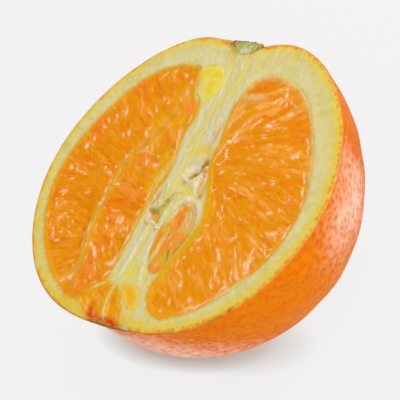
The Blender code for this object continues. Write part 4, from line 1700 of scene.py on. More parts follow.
LEFT_MARKS = (
    Marks(Hue.AMBER, 0.65, blots=((-12.5, 12, 11, 62, 3.6), (-17, 2.5, 6, 80, 2.6),
        (-17.5, -27, 4, 30, 3))),
    Marks(Hue.PULP_RED, 0.5, -0.03, blots=((-31, 9.5, 6, 100, 3.5), (-33, -8, 4, 100, 3)),
        dashes=((-28.6, -8.8, 1.8, 20, 1.3), (-16.2, 13.3, 1.6, 30, 1.2), (-18.3, 14.2, 1.4, 0, 1))),
    # Painted highlights: the pink and salmon glints below.
    Marks(Hue.PINK_HIGHLIGHT, 0.55, 0.07, dashes=((-24, -1.8, 2.6, -62, 0.4), (-33.9, -4, 1.5, -40, 0.4),
        (-31.6, 7.2, 1.5, -30, 0.8), (-27.9, -9.1, 1.2, -60, 0.6), (-30, 6, 1.6, -35, 0.5),
        (-19.2, 2, 1.3, 20, 0.9), (-19.6, 0.9, 1.8, 60, 0.8), (-25, 22, 3, -20, 0.8))),
    Marks(Hue.SALMON_HIGHLIGHT, 0.85, 0.09, dashes=((-19.2, 24.3, 1.8, 65, 0.6), (-16.8, 25.6, 0.9, 40, 0.5),
        (-13.1, 24.7, 1.3, -50, 0.6), (-10.8, 23.4, 1, -40, 0.6), (-10.3, 21.1, 2.8, -58, 0.8),
        (-9.9, 20.2, 0.9, -20, 0.7), (-15.9, 18.5, 1, -20, 0.7), (-14.2, 17.4, 1.1, 10, 0.4),
        (-14.6, 17.9, 0.8, 60, 0.4), (-11.2, 19.2, 1.3, -50, 0.6), (-16.6, 15.6, 1.8, -45, 0.4),
        (-18.2, 14.6, 1, 0, 0.4), (-25.4, 14, 2.6, -72, 0.6), (-27.3, 12.4, 1.8, -52, 0.5),
        (-29.4, 11.2, 1.4, -35, 0.6), (-29.4, 9.4, 1.6, -10, 0.6), (-21.3, 9.1, 1.7, -60, 0.7),
        (-22.6, 8.3, 1.4, -50, 0.4), (-16.1, 9.4, 1.7, -50, 0.8), (-13, 11.7, 1.5, 70, 0.4),
        (-15.8, 11, 1, 0, 0.5), (-31.6, 4.2, 1.6, -50, 0.9), (-30.9, 6.3, 1.4, -60, 0.5),
        (-18.2, 3.2, 1.1, 60, 0.5), (-21, -1.3, 1.1, -35, 0.6), (-20, 0.4, 0.9, 10, 0.6),
        (-19.2, -3.3, 1.3, 80, 0.5), (-23.1, -0.4, 1, -40, 0.4), (-33.1, -1.7, 1.5, -42, 0.5),
        (-31, -1.8, 1.6, -80, 0.6), (-31.2, -4.5, 1.2, 20, 0.5), (-31.6, -7.6, 1.9, 5, 0.7),
        (-31.3, -8.4, 1.4, 60, 0.5), (-32.5, -9.8, 1, 60, 0.4), (-31.6, -11.2, 1.6, -40, 0.6),
        (-28.7, -14.2, 1, 30, 0.9), (-27.7, -12.9, 0.8, 0, 0.5), (-26.2, -12, 1, -30, 0.3),
        (-24.3, -14.3, 0.9, -50, 0.4), (-25, -15.5, 0.9, -60, 0.5), (-29.1, -17.6, 3.6, -75, 0.4),
        (-28, -18.6, 1.8, -60, 0.3), (-26.2, -17.4, 0.9, 10, 0.6), (-26.1, -19.3, 1.4, 15, 0.6),
        (-17.2, -24.2, 1, 20, 0.7), (-18.9, -28, 1.4, 50, 0.8), (-17, -26.8, 1.7, 40, 0.9),
        (-24.4, -6.9, 1, 10, 0.4), (-18.3, -18.8, 1.4, -65, 0.5), (-19.3, -5.6, 1.8, 85, 0.5),
        (-19, -8.4, 2.2, 88, 0.7), (-30.4, -16.2, 0.9, -30, 0.4))),
)
INNER_MARKS = (
    Marks(Hue.AMBER, 0.6, blots=((-9.5, 13, 9, 70, 2.2), (-7, 3, 6, 95, 3.5), (-8, -3, 5, 95, 2.5))),
    Marks(Hue.PULP_RED, 0.35, 0.05, blots=((-14, 3.4, 3.8, -25, 2.9), (-12.5, -18.5, 6, -60, 3.5),
        (-12.5, -26.5, 5, -70, 3), (-9.5, 8.5, 6, -60, 3), (-14.5, -7.5, 5, 5, 2)),
        dashes=((-14.3, 6.5, 1.8, -50, 1.2), (-16.6, -1.2, 3.6, -75, 1.2), (-15.8, -9, 4, -10, 1.5))),
    Marks(Hue.ZEST_DEEP, 0.45, -0.03, blots=((-15.2, -7.6, 3.6, 5, 1.4), (-13.6, -21.6, 3, -40, 1.6),
        (-14.8, -12, 2.4, -10, 1.4), (-9, -8, 3, -20, 1.4), (-11.8, -17, 3.4, -30, 1.4),
        (-9.4, -25.6, 4, -30, 1.6))),
    Marks(Hue.CORAL, 0.85, 0.1, blots=((-7.4, 17.3, 4, 80, 3.2), (-14.6, -4.2, 5, -12, 1.7),
        (-13, -11.2, 4.6, 3, 1.5), (-12.9, -24.6, 4.8, -36, 2.1), (-12.2, 2.6, 4, -35, 2.2),
        (-11, -5.6, 3.6, -10, 1.6))),
    # Painted highlights: the salmon and pink glints and streaks below.
    Marks(Hue.SALMON_HIGHLIGHT, 0.6, 0.05, blots=((-10.8, -11.8, 1.8, 80, 1.2), (-14, -20, 3.4, -48, 0.9),
        (-7.6, -21.8, 2, 10, 1.4))),
    Marks(Hue.PINK_HIGHLIGHT, 0.6, 0.07, dashes=((-11.7, -7.4, 1.8, -60, 0.4), (-16.4, -1.9, 1.4, -70, 0.6),
        (-16, -1.2, 0.8, 0, 0.5), (-15, -22.4, 1.8, -45, 0.6), (-9.2, -14.8, 1.2, -40, 0.5))),
    Marks(Hue.SALMON_HIGHLIGHT, 0.85, 0.09, 0.2, lines=((0.35, -15, 4.9, -13, 5.1, -11.2, 4.5), (0.8, -6.9, 11.4,
        -6.4, 9.8, -6, 8.6), (0.4, -6.2, 9, -5.4, 6.8, -4.9, 4.4), (0.3, -15, -9.9, -12.3, -9.7)),
        dashes=((-13.8, 6.6, 1.8, -70, 0.5), (-12.3, 6.2, 2.2, -52, 0.5), (-11.8, 2.4, 1.1, -60, 0.8),
        (-8.9, 2.4, 1.5, 0, 0.9), (-9.6, 4.4, 1.2, -45, 0.4), (-11, 7.3, 0.9, 0, 0.5),
        (-6, 14.4, 2.4, -85, 0.5), (-16.9, -3.7, 1.3, 5, 0.5), (-11.7, -12, 1.7, -75, 0.5),
        (-7.9, -13.3, 1.8, -80, 0.5), (-8.7, -13.8, 1.4, -70, 0.3), (-9.5, -14.3, 1, -60, 0.3),
        (-8.3, -15.3, 1, -30, 0.3), (-14.1, -13.9, 1.1, -50, 0.7), (-10.3, -17.5, 1.6, -70, 0.5),
        (-15.7, -18.6, 1.6, -35, 0.6), (-14, -20.2, 2.6, -50, 0.5), (-13.4, -20.9, 0.9, -30, 0.7),
        (-12, -19, 1.4, -60, 0.5), (-11, -15.6, 1, -60, 0.4), (-7, -20.8, 1.8, 88, 0.8),
        (-7.7, -22, 1.9, 12, 1), (-11.2, -23.7, 1.8, -55, 0.4), (-12.4, -22.6, 1.4, -50, 0.3),
        (-11.6, -25.9, 1.1, -50, 0.4), (-12.5, -27.1, 0.9, 0, 0.6), (-6.7, -4.8, 3, 86, 0.6),
        (-7.2, -9.6, 1.4, 80, 0.5), (-6.5, -15.8, 2.6, 86, 0.7), (-15, -12, 0.9, -30, 0.4),
        (-7.2, -24.3, 1.8, 60, 0.6), (-9.9, -3.6, 0.9, 10, 0.4))),
)
CORE_MARKS = (
    Marks(Hue.FIBRE_YELLOW, 0.75, -0.05, 0.1, blots=((-1.4, -22.6, 5.5, 90, 3.4), (1.8, 7.4, 5.5, 5, 3),
        (2.5, -2.2, 6, -10, 2.2)), lines=((1, -1.7, 29, -1, 26, -0.7, 22, -0.9, 18, -1, 14),
        (1.1, 1.6, 30, 2.7, 28, 3.1, 26, 2.8, 24, 2.4, 21, 2, 18), (0.8, 0.6, 24, 0.8, 21, 0.6, 18),
        (1.5, -0.3, 12, -0.4, 8, -0.5, 4, -0.8, 1, -0.9, -2.5), (1.4, -1.6, -12, -1.5, -16, -1.4, -20,
        -1.4, -23.5), (1.3, 1.6, -20.8, 2.8, -22.7, 4, -24, 5.6, -24.9), (1.2, 10.2, -9, 10.7, -11,
        10.2, -13.5, 9.3, -16.5, 8.2, -19.5, 7.4, -22), (1.6, -6.6, -25.6, -4.5, -25.4, -2.5, -26,
        -1.4, -25.4))),
    Marks(Hue.YELLOW, 0.5, -0.03, blots=((1, 7.4, 3.4, 10, 1.8), (-2.8, 9.2, 1.2, 80, 0.8),
        (-1.4, -23.2, 3, 90, 2)), lines=((0.8, 4.6, 8, 5.6, 7, 6, 5), (0.9, -0.9, 0.5, -0.9, -1.6),
        (0.9, 2.6, -22.8, 4, -24.2, 5.4, -24.9))),
    Marks(Hue.GREY, 0.75, 0.04, 0.1, lines=((1.7, -5, 11.5, -4.6, 8.5, -3.7, 6, -3.4, 3, -3.2, 0),
        (1.2, -2, 26.5, -2.4, 22.5, -2.9, 19, -3.3, 16, -3.2, 13.5), (1.4, -4.4, -11.5, -4.3, -14,
        -4.3, -18, -4.6, -20.5), (1, -0.5, -12.5, -0.3, -16, -0.2, -20), (1.3, 4.6, 26, 4.3, 23.5,
        3.7, 21, 3.4, 18, 3.2, 15))),
    Marks(Hue.CREAM, 0.7, 0.06, 0.1, lines=((1.3, 7.6, 27.4, 5.6, 26, 4.7, 24.4, 4.6, 22), (0.8, -2, 6,
        -1.9, 2, -1.9, -2), (1.1, 5.2, -25.8, 6, -27.6, 7.2, -29.4, 8.6, -30.6), (1.2, 3.4, -21.9,
        4.8, -22.6, 6.2, -22.6), (1.2, 0.6, -5, 0.2, -7, 0.2, -9), (1, -5.7, -10, -5.6, -16, -5.8, -21,
        -6, -24), (0.7, -7.9, 22.4, -7.2, 21.4, -6.2, 20.9))),
    Marks(Hue.LILAC, 0.7, 0.12, 0.2, blots=((2.5, 3.2, 4, 48, 1.9), (3.6, 10.8, 1.6, 100, 4.4)),
        lines=((0.8, 0.6, 15, 1, 13, 1.6, 11.2, 2.3, 9.4), (0.7, 3, 15.5, 3.2, 13.8, 3, 12.4),
        (0.7, 4.3, 13, 4.6, 11, 4.9, 9.2), (0.6, 3.3, 11.8, 3.4, 10, 4, 8.8), (0.7, -3.2, 19.5, -3.7, 17,
        -3.4, 15, -3, 13), (0.8, 9.2, -5.4, 9.9, -7.4, 10.4, -9.2))),
    Marks(Hue.TAN, 0.55, -0.05, 0.3, blots=((3.4, -5.6, 2.8, 20, 1), (6.2, -0.6, 1, 95, 2.6)),
        lines=((1, 4.8, 19.4, 4.6, 17.2, 5.1, 15, 5.4, 12.5), (0.9, -4.9, 16.4, -4.5, 14.6, -4.3, 12.6),
        (0.7, 7, 1, 7.3, -0.8, 7.6, -2.4), (0.6, -3.7, -3.3, -4, -5.2, -4.6, -7.6),
        (0.7, -2.2, 9.2, -2.6, 8.6), (0.8, -3.6, 31.8, -3, 30.6), (0.8, 2.6, 32.4, 1.7, 30.6))),
    Marks(Hue.WHITE, 0.8, 0.22, 0.15, blots=((4.6, -0.8, 1.2, 80, 2.2), (-2.1, 9.8, 0.7, 40, 0.5)),
        lines=((0.7, -2.9, -12, -3, -16, -3.2, -19, -3.5, -22, -3.7, -24.4), (0.9, 0.3, -12.2, 0.4, -15,
        0.6, -18, 1.3, -21, 2, -23, 2.9, -25.2), (1.2, 0.5, -10.2, 0.9, -8.6, 1.8, -6.8, 3, -5.2,
        4.4, -4.4, 6, -4.4, 7.6, -5.2, 8.8, -6.4, 9.7, -8.2, 10.4, -9.8), (0.6, 0.5, 0.9, 1.4, 0.7,
        2.2, 0.2, 3.2, 0.1), (0.7, 3.4, 0.3, 4.6, 1.4, 5.1, 2.5, 5.6, 3.4), (0.6, 4.4, 1.2, 4.4, -1,
        5, -2.4, 6.6, -3.2, 8.2, -4.6), (0.5, 6.2, 1.6, 6.8, -1, 7, -3), (0.5, -2.9, -1.6, -2.4, -2.6,
        -2.7, -4, -3, -5.4, -3.5, -6.2), (0.4, -2, 27.4, -1.5, 24.4, -1.2, 21), (0.4, 2.2, 16, 2.6, 13,
        2.7, 10.6), (0.4, -4.9, -0.8, -4.7, -3, -5.2, -5.5), (0.4, 9.5, -12.8, 9.2, -14.6, 8.6, -16.6))),
    Marks(Hue.CREAM, 0.8, 0.2, 0.2, lines=((0.3, 0.3, -3, 1, -2.7, 2.2, -2.8), (0.3, -1.6, -5.2, -1, -4,
        -0.2, -3.1), (0.35, 1.2, 28.6, 2.2, 26.6, 2.5, 24))),
    Marks(Hue.OLIVE, 0.5, -0.12, blots=((1.2, -0.5, 1.8, 30, 1.1), (-0.6, -6.2, 3.6, 65, 1.3)),
        lines=((0.35, 0.5, -3.3, 1.2, -3.05, 2.2, -3.1),)),
)
# Colours in and around the core's hollows. The olive, umber, brown and dark brown marks are partly the torn
# tissue's own colour, partly painted shade on the hollows' walls.
HOLLOW_MARKS = (
    Marks(Hue.OLIVE, 0.75, -0.15, blots=((-3.2, -8.2, 2.6, -20, 1.4),), lines=((1.1, 0, -3.3, -0.6, -4.5,
        -1.2, -5.7, -1.8, -6.9, -2.2, -7.7),)),
    Marks(Hue.DARK_OLIVE, 0.6, -0.05, lines=((0.45, -0.6, -4.3, -1.2, -5.5, -1.7, -6.6, -2.3, -7.5),)),
    Marks(Hue.OCHRE, 0.4, blots=((4.7, 6.9, 4, 100, 2.4), (3.2, 9, 4.6, 60, 2.4))),
    Marks(Hue.TAN, 0.4, blots=((6.6, -1.4, 4.6, 110, 2.4), (3.7, 13, 4.4, 90, 2.6),
        (-3.4, -10.6, 2.6, 0, 1.6))),
    Marks(Hue.WHITE, 0.35, 0.15, blots=((1.9, 3.4, 4.2, 50, 2.1), (4.7, 0, 1.2, 100, 2.4))),
    Marks(Hue.TAN, 0.5, blots=((2.8, 1.8, 3.6, 45, 1.6), (5.8, 0.2, 3, 110, 1.4))),
    Marks(Hue.GREY, 0.6, blots=((2.2, 2.9, 3, 50, 1.1),)),
    Marks(Hue.UMBER, 0.9, -0.05, blots=((-2.4, -8.9, 3, -38, 1.9), (-1.4, -10.1, 2.2, -45, 1.1),
        (4.2, 4.3, 2.6, 66, 1.5)), lines=((1.3, 1.2, 0.8, 1.9, 1.3, 2.7, 1.6, 3.5, 2.4, 3.8, 3.4,
        4.2, 4.4, 4.5, 5.2), (0.6, -1.6, -9.2, -0.9, -10, -0.2, -10.8))),
    Marks(Hue.OCHRE, 0.6, blots=((-2, -9.4, 2.4, -40, 1.2),)),
    Marks(Hue.BROWN, 0.6, -0.08, 0.1, blots=((-3.8, -8.2, 1.6, -20, 0.7), (4.2, 4.2, 2, 66, 0.9),
        (2.8, 1.5, 2, 42, 0.9), (1.2, -0.1, 1, 0, 0.5)), lines=((0.5, -3.9, -8.7, -3, -9.7, -1.9, -10.4),
        (0.5, 1.8, 1.1, 2.8, 1.5, 3.6, 2.6, 4.1, 3.9), (0.45, 3.5, 13.2, 3.8, 11.4, 3.6, 9.6),
        (0.4, 2.9, 12.6, 3, 11), (0.45, -3.2, -2, -2.7, -2.8, -2.5, -3.9, -2.7, -5),
        (0.4, -3.5, -5.7, -3, -6.4), (0.5, 5.4, 17.4, 5, 16, 5.4, 14.8))),
    Marks(Hue.DARK_BROWN, 0.6, -0.04, blots=((2.9, 1.4, 1.5, 42, 0.5), (4.4, 4.5, 1.6, 62, 0.5))),
    Marks(Hue.WHITE, 0.95, 0.22, 0.2, lines=((0.5, 0.1, 1, 0.9, 0.5, 1.7, 0),),
        dashes=((-4.1, -10, 1.2, 60, 0.6), (-3.3, -10.9, 1, -20, 0.5), (-2.3, -10.9, 1.2, 35, 0.5),
        (-1.3, -11.2, 1, -35, 0.5), (-0.5, -11.9, 0.9, -70, 0.5), (0.4, -11.8, 1.2, 30, 0.5),
        (0.9, -11, 0.9, -50, 0.4), (1.4, -12.5, 1.1, -60, 0.5), (-3, -10.2, 0.8, 50, 0.4))),
    Marks(Hue.RUST, 0.8, -0.06, 0.2, blots=((5.4, 2.9, 1.4, -60, 1), (5.6, 1.8, 0.9, 0, 0.6)),
        lines=((0.35, -4.4, -10.5, -4.1, -11.1, -3.3, -11.4, -2.7, -11.2, -2, -11.3), (0.35, -1.6, -11.5,
        -0.9, -11.7, -0.6, -12.4, 0.2, -12.4, 0.9, -12.1), (0.7, 7.1, -1.9, 7.3, -3, 7.7, -3.9),
        (0.5, 6.8, -5.3, 7.4, -5.9), (0.35, 0.9, -11.4, 1.5, -12, 1.7, -12.8), (0.45, -4.2, -3.6,
        -4.2, -5.2, -4.6, -7.2))),
    Marks(Hue.CORAL, 0.8, lines=((0.9, 6.8, 1.4, 7.2, 0.4, 7.6, -0.8), (0.45, -4, -2.8, -4.3, -4.4))),
)
RIM_MARKS = (
    Marks(Hue.DARK_BROWN, 1.2, -0.05, dashes=((28.8, -25.8, 1, 45, 0.5),)),
    Marks(Hue.BROWN, 1, -0.03, dashes=((26.8, -27.7, 1.5, 40, 0.6), (25.4, -29, 1.4, 36, 0.5),
        (31.3, -22.6, 0.9, 50, 0.4))),
)
# The thin membrane's course: heights and middles at them.
MEMBRANE_COURSE = (
    (-32, -30, -25, -21, -17, -13, -9, -4, 1, 4.4, 7.6, 11, 15, 20, 24, 28),
    (-15, -15.4, -16.1, -16.8, -17.8, -18.6, -18.6, -18.4, -18.2, -17.2, -14.6, -12.6, -11, -9.6, -9.3, -9.6))
MEMBRANE_MARKS = (
    Marks(Hue.AMBER, 0.45, blots=((-12, 19, 8, 80, 4), (-14.5, 12.5, 7, 70, 4), (-12, 7.5, 6, -20, 3),
        (-7, 2, 5, 95, 3))),
    Marks(Hue.OCHRE, 0.55, blots=((-10.8, 15.6, 9, 70, 2.6), (-9.2, 21.4, 4.4, 80, 2),
        (-12.6, 9, 5, 52, 2.6), (-7.4, 5.4, 5, 100, 2.2), (-6, -0.8, 4.4, 92, 1.6))),
    Marks(Hue.CORE_EDGE, 0.85, -0.02, 0.1, lines=((1.5, 5.9, 6, 6.8, 3.6, 8, 0.6, 9.2, -2.4, 10.2, -5,
        11, -8, 11.1, -11, 10.3, -14.6, 9.5, -17.4, 8.5, -20.4, 7.8, -23), (0.8, -4.6, 6, -4.7, 0,
        -5.3, -4, -6.1, -8, -6.1, -13, -6.1, -18, -6.4, -22.5))),
    Marks(Hue.OCHRE, 0.8, -0.02, 0.3, lines=((0.8, -16.4, 5.2, -17.2, 4, -18.2, 1, -18.5, -3),
        (0.7, -18.7, -3, -18.9, -8, -18.7, -13), (0.7, -18.4, -13, -17.6, -17, -16.7, -21, -16, -25),
        (0.9, -9.4, 26.6, -8.8, 24.4, -8.2, 22.4), (0.5, -5.4, 16.4, -5.2, 14, -5.4, 11.6),
        (0.5, -5.5, 10, -4.9, 7, -4.4, 4, -4.4, 0.5), (0.6, -12.6, -29.6, -10.2, -28.4, -8.2, -27.2,
        -6.8, -26.2), (1, -14.5, -30.9, -12.4, -30.9, -11.6, -30.6))),
    Marks(Hue.FIBRE_YELLOW, 0.7, 0.05, 0.6, lines=((0.4, -17.9, 0.6, -18.2, -3, -18.2, -6),
        (0.4, -18.5, -8, -18.3, -13, -17.4, -17.6, -16.3, -22.6), (0.4, -9.4, -28.3, -8, -27.3,
        -6.9, -26.3))),
    Marks(Hue.PEACH, 0.9, 0.1, 0.3, lines=((0.35, -9.7, 25, -9.1, 23.2, -8.5, 21.8), (0.4, -6.6, 12.4,
        -5.9, 10, -5.4, 8, -4.8, 5.6, -4.5, 3.4), (0.45, -6.4, -9, -6.4, -12, -6.4, -16, -6.5, -20),
        (0.4, -5.4, -1.6, -6, -4.6, -6.3, -7.5), (0.35, -18.9, -13.6, -18.3, -15.8, -17.4, -18.4,
        -16.6, -20.8))),
    # Painted highlights: salmon glints on the membrane's edge.
    Marks(Hue.SALMON_HIGHLIGHT, 0.8, 0.1, dashes=((-19.1, -8.4, 2.4, 88, 0.8), (-19.1, -5.4, 1.6, 80, 0.5),
        (-18.7, -15, 2, -70, 0.5), (-6.6, -15.8, 2.4, 88, 0.6))),
    Marks(Hue.BEIGE, 0.6, 0.05, blots=((8.8, -6.6, 5.4, -54, 2), (5.4, -4.9, 4, 6, 1.2),
        (1.9, -19.9, 2.4, -60, 1.2))),
    Marks(Hue.PITH_WHITE, 0.8, 0.05, blots=((2, -8.2, 5.4, 62, 1.7), (-6.9, 22, 4.4, 120, 1.3)),
        lines=((0.7, 3, -13.6, 3.05, -16, 2.8, -18, 2.6, -20),)),
    Marks(Hue.FIBRE_YELLOW, 0.6, 0, 0.1, lines=((1.1, -2.2, 27.2, -1.7, 25, -1.9, 23, -2.8, 20.8,
        -3.6, 19.4), (0.9, 2.6, -26.1, 4, -26.9, 4.8, -28.4, 4.6, -30.2, 3.4, -31.2, 2.2, -31),
        (0.6, -0.6, -26.8, 0.2, -28.4, 1.2, -30.2))),
    Marks(Hue.RUST, 0.7, -0.04, 0.2, lines=((0.4, 8, -6.2, 8.7, -7.2, 9.3, -8.4), (0.3, 7.4, -6.6,
        8, -7.6, 8.4, -8.6), (0.3, 6.4, -5.4, 7.2, -5.9))),
    Marks(Hue.CORE_EDGE, 0.6, -0.02, lines=((0.9, 10.2, -9.2, 10.2, -11.5, 9.8, -13.8, 9.1, -16.4,
        8, -18.8),)),
    Marks(Hue.PULP_LIGHT, 0.75, 0.04, blots=((-15.9, 6, 3.4, 150, 1.3), (-13.4, 9.3, 3.6, 140, 1.6),
        (-11.7, 12.8, 3.6, 150, 1.5), (-10.5, 16, 3.2, 160, 1.5), (-9.7, 19, 2.8, 150, 1.4))),
    Marks(Hue.PULP, 0.75, 0.02, blots=((-14.6, 7.6, 3.4, 145, 1.2), (-12.5, 11, 3.6, 150, 1.3),
        (-11, 14.4, 3.2, 155, 1.2), (-10.1, 17.4, 2.8, 160, 1.1))),
    Marks(Hue.PITH_WHITE, 0.95, 0, 0.1, lines=((1.7, 5.2, 21.8, 6, 24, 7.9, 26.5, 12.4, 27.4, 17.8, 26,
        22.6, 23.2, 26.7, 19, 29.8, 13.7, 31.8, 9.2, 33.3, 4.6), (1.2, 29.4, -18.5, 26.8, -21.4,
        23.5, -24.2))),
    Marks(Hue.OCHRE, 0.45, blots=((-7, -1.2, 6, 95, 2.8), (-7.4, 13.6, 4, 80, 2))),
    Marks(Hue.FIBRE_YELLOW, 0.6, 0.02, 0.5, blots=((-7.2, 20.6, 4.4, 120, 1.5),), lines=((0.5, -6.2, 2.4,
        -6.9, 0.2, -7, -2, -7.6, -4.2), (0.4, -5.4, 1, -5.8, -1, -6.4, -3.2), (0.4, -4.9, 8.6, -5.3, 6,
        -5.2, 3.6), (0.35, -7.6, 15.6, -7.9, 13.6, -7.2, 12))),
    Marks(Hue.AMBER, 0.7, 0, 0.1, lines=((1.3, -27.9, -22.4, -25.2, -24.9, -22.6, -26.9, -18, -29),)),
    Marks(Hue.YELLOW, 0.5, blots=((-8.4, 25, 4.8, 120, 1.6), (-6.4, 22, 3.2, 120, 1.4))),
    Marks(Hue.PITH_WHITE, 0.7, 0, 0.2, lines=((1.2, -4.4, 5, -5.2, 2.2, -5.7, 0.2, -6.1, -1.8,
        -6.2, -3.6),)),
    Marks(Hue.PITH_WHITE, 0.5, blots=((-4.8, 28, 3, -20, 1.5),)),
)
NAVEL_JOINS = (
    ((-15, -31), (-13, -30.4), (-10.2, -28.6), (-8, -27.3), (-6.4, -26.4)),
    ((-3.6, -27), (-3.8, -29), (-3.6, -32), (-3, -34.2)))
NAVEL_MARKS = (
    Marks(Hue.PULP_RED, 0.4, blots=((-14.2, -29.2, 6, -15, 3.2), (-13, -26.6, 7, -50, 3.4))),
    Marks(Hue.AMBER, 0.6, blots=((-9, -31, 8.5, -18, 3.6), (-1.2, -31.2, 6, 88, 4),
        (-5.2, -28.2, 4, -30, 2.4))),
    Marks(Hue.YELLOW_DEEP, 0.6, 0.03, 0.2, blots=((-13, -32.6, 7, -14, 1.8), (3.8, -32.8, 4, 0, 2.6),
        (-1, -26.2, 3.6, 10, 1.2)), lines=((0.5, -5, -28, -5.4, -30.6, -4.6, -33),)),
    Marks(Hue.PITH_WHITE, 0.8, 0.05, lines=((0.5, -8.8, -27.7, -7.8, -27, -6.6, -26.3),)),
    Marks(Hue.AMBER, 0.5, blots=((2.4, -33.7, 3.6, 0, 1.6),)),
    Marks(Hue.PULP_DEEP, 0.5, blots=((-11, -29.9, 5, 8, 1.4), (-6.4, -28.6, 2.8, 40, 2),
        (-1.8, -29.6, 3, 100, 1.6))),
    Marks(Hue.AMBER, 0.7, blots=((-8.6, -29.6, 5, 10, 2.2),)),
    Marks(Hue.PEACH, 0.85, 0.08, 0.2, lines=((0.6, -11.3, -30.8, -10.3, -32.4, -9, -34),
        (0.9, -9.2, -30.6, -8.4, -32.2, -7.8, -33.6), (0.5, -6.6, -29, -6, -30.6),
        (0.6, 0.6, -32.2, 1.2, -33.5), (0.4, -3.1, -29, -2.8, -31, -2.4, -33, -1.9, -34.2))),
    Marks(Hue.CREAM, 0.9, 0.08, 0.1, lines=((0.6, -3.6, -26.8, -3.9, -28.5, -3.8, -30, -3.4, -31.8,
        -2.9, -33.2, -2.3, -34.3),)),
    Marks(Hue.OCHRE, 0.5, 0, 0.2, lines=((0.9, -2.6, -27.6, -1.2, -29.2, 0.4, -31, 2.2, -31.8,
        3, -33.6),)),
    Marks(Hue.MAROON, 1.2, -0.05, lines=((1.7, -7.1, -31.8, -6.8, -32.9, -5.8, -34, -4.2, -34.7,
        -2.4, -34.9, -0.4, -35.1),)),
    # Painted highlights: pink streaks on the red hook.
    Marks(Hue.PINK_HIGHLIGHT, 0.75, 0.05, lines=((0.6, -6.2, -32.5, -5.7, -33.3, -4.8, -34), (0.4, -4.4, -34.5,
        -3.2, -34.8, -2, -34.9, -1, -35))),
    Marks(Hue.RED, 1.3, -0.05, lines=((1.2, -0.8, -34, 0.3, -34.4, 1.5, -34.8, 2.9, -35.1),)),
    Marks(Hue.DARK_OLIVE, 1.1, lines=((0.9, -5.6, -35.1, -3, -35.5, 0, -35.6, 3, -35.6, 6.6, -35.4),
        (0.4, -1.8, -34.2, -1.2, -33.9, -0.6, -33.8))),
    Marks(Hue.BROWN, 0.8, lines=((0.9, 3.4, -34.9, 4.8, -34.9, 6.4, -35),)),
    Marks(Hue.LILAC, 0.9, lines=((0.4, 4, -34.9, 4.8, -34.9, 5.6, -35),)),
)
STEM_MARKS = (
    Marks(Hue.PITH_PALE, 0.55, blots=((-15.2, 29.8, 12, 22, 3), (-7.4, 30, 6, 0, 3),
        (19.6, 27.8, 8, -42, 3))),
    Marks(Hue.ZEST, 0.8, blots=((-6.6, 34.3, 3.2, -5, 0.9), (6.4, 33.9, 3.4, 12, 0.7))),
    Marks(Hue.MAROON, 0.7, blots=((-4.4, 34.2, 1.4, 0, 0.9),)),
    Marks(Hue.OLIVE, 0.45, blots=((-3.4, 32.6, 2, -60, 1), (-2.2, 31.2, 1.6, -40, 0.8),
        (2.6, 32.6, 1.8, 50, 0.9))),
)
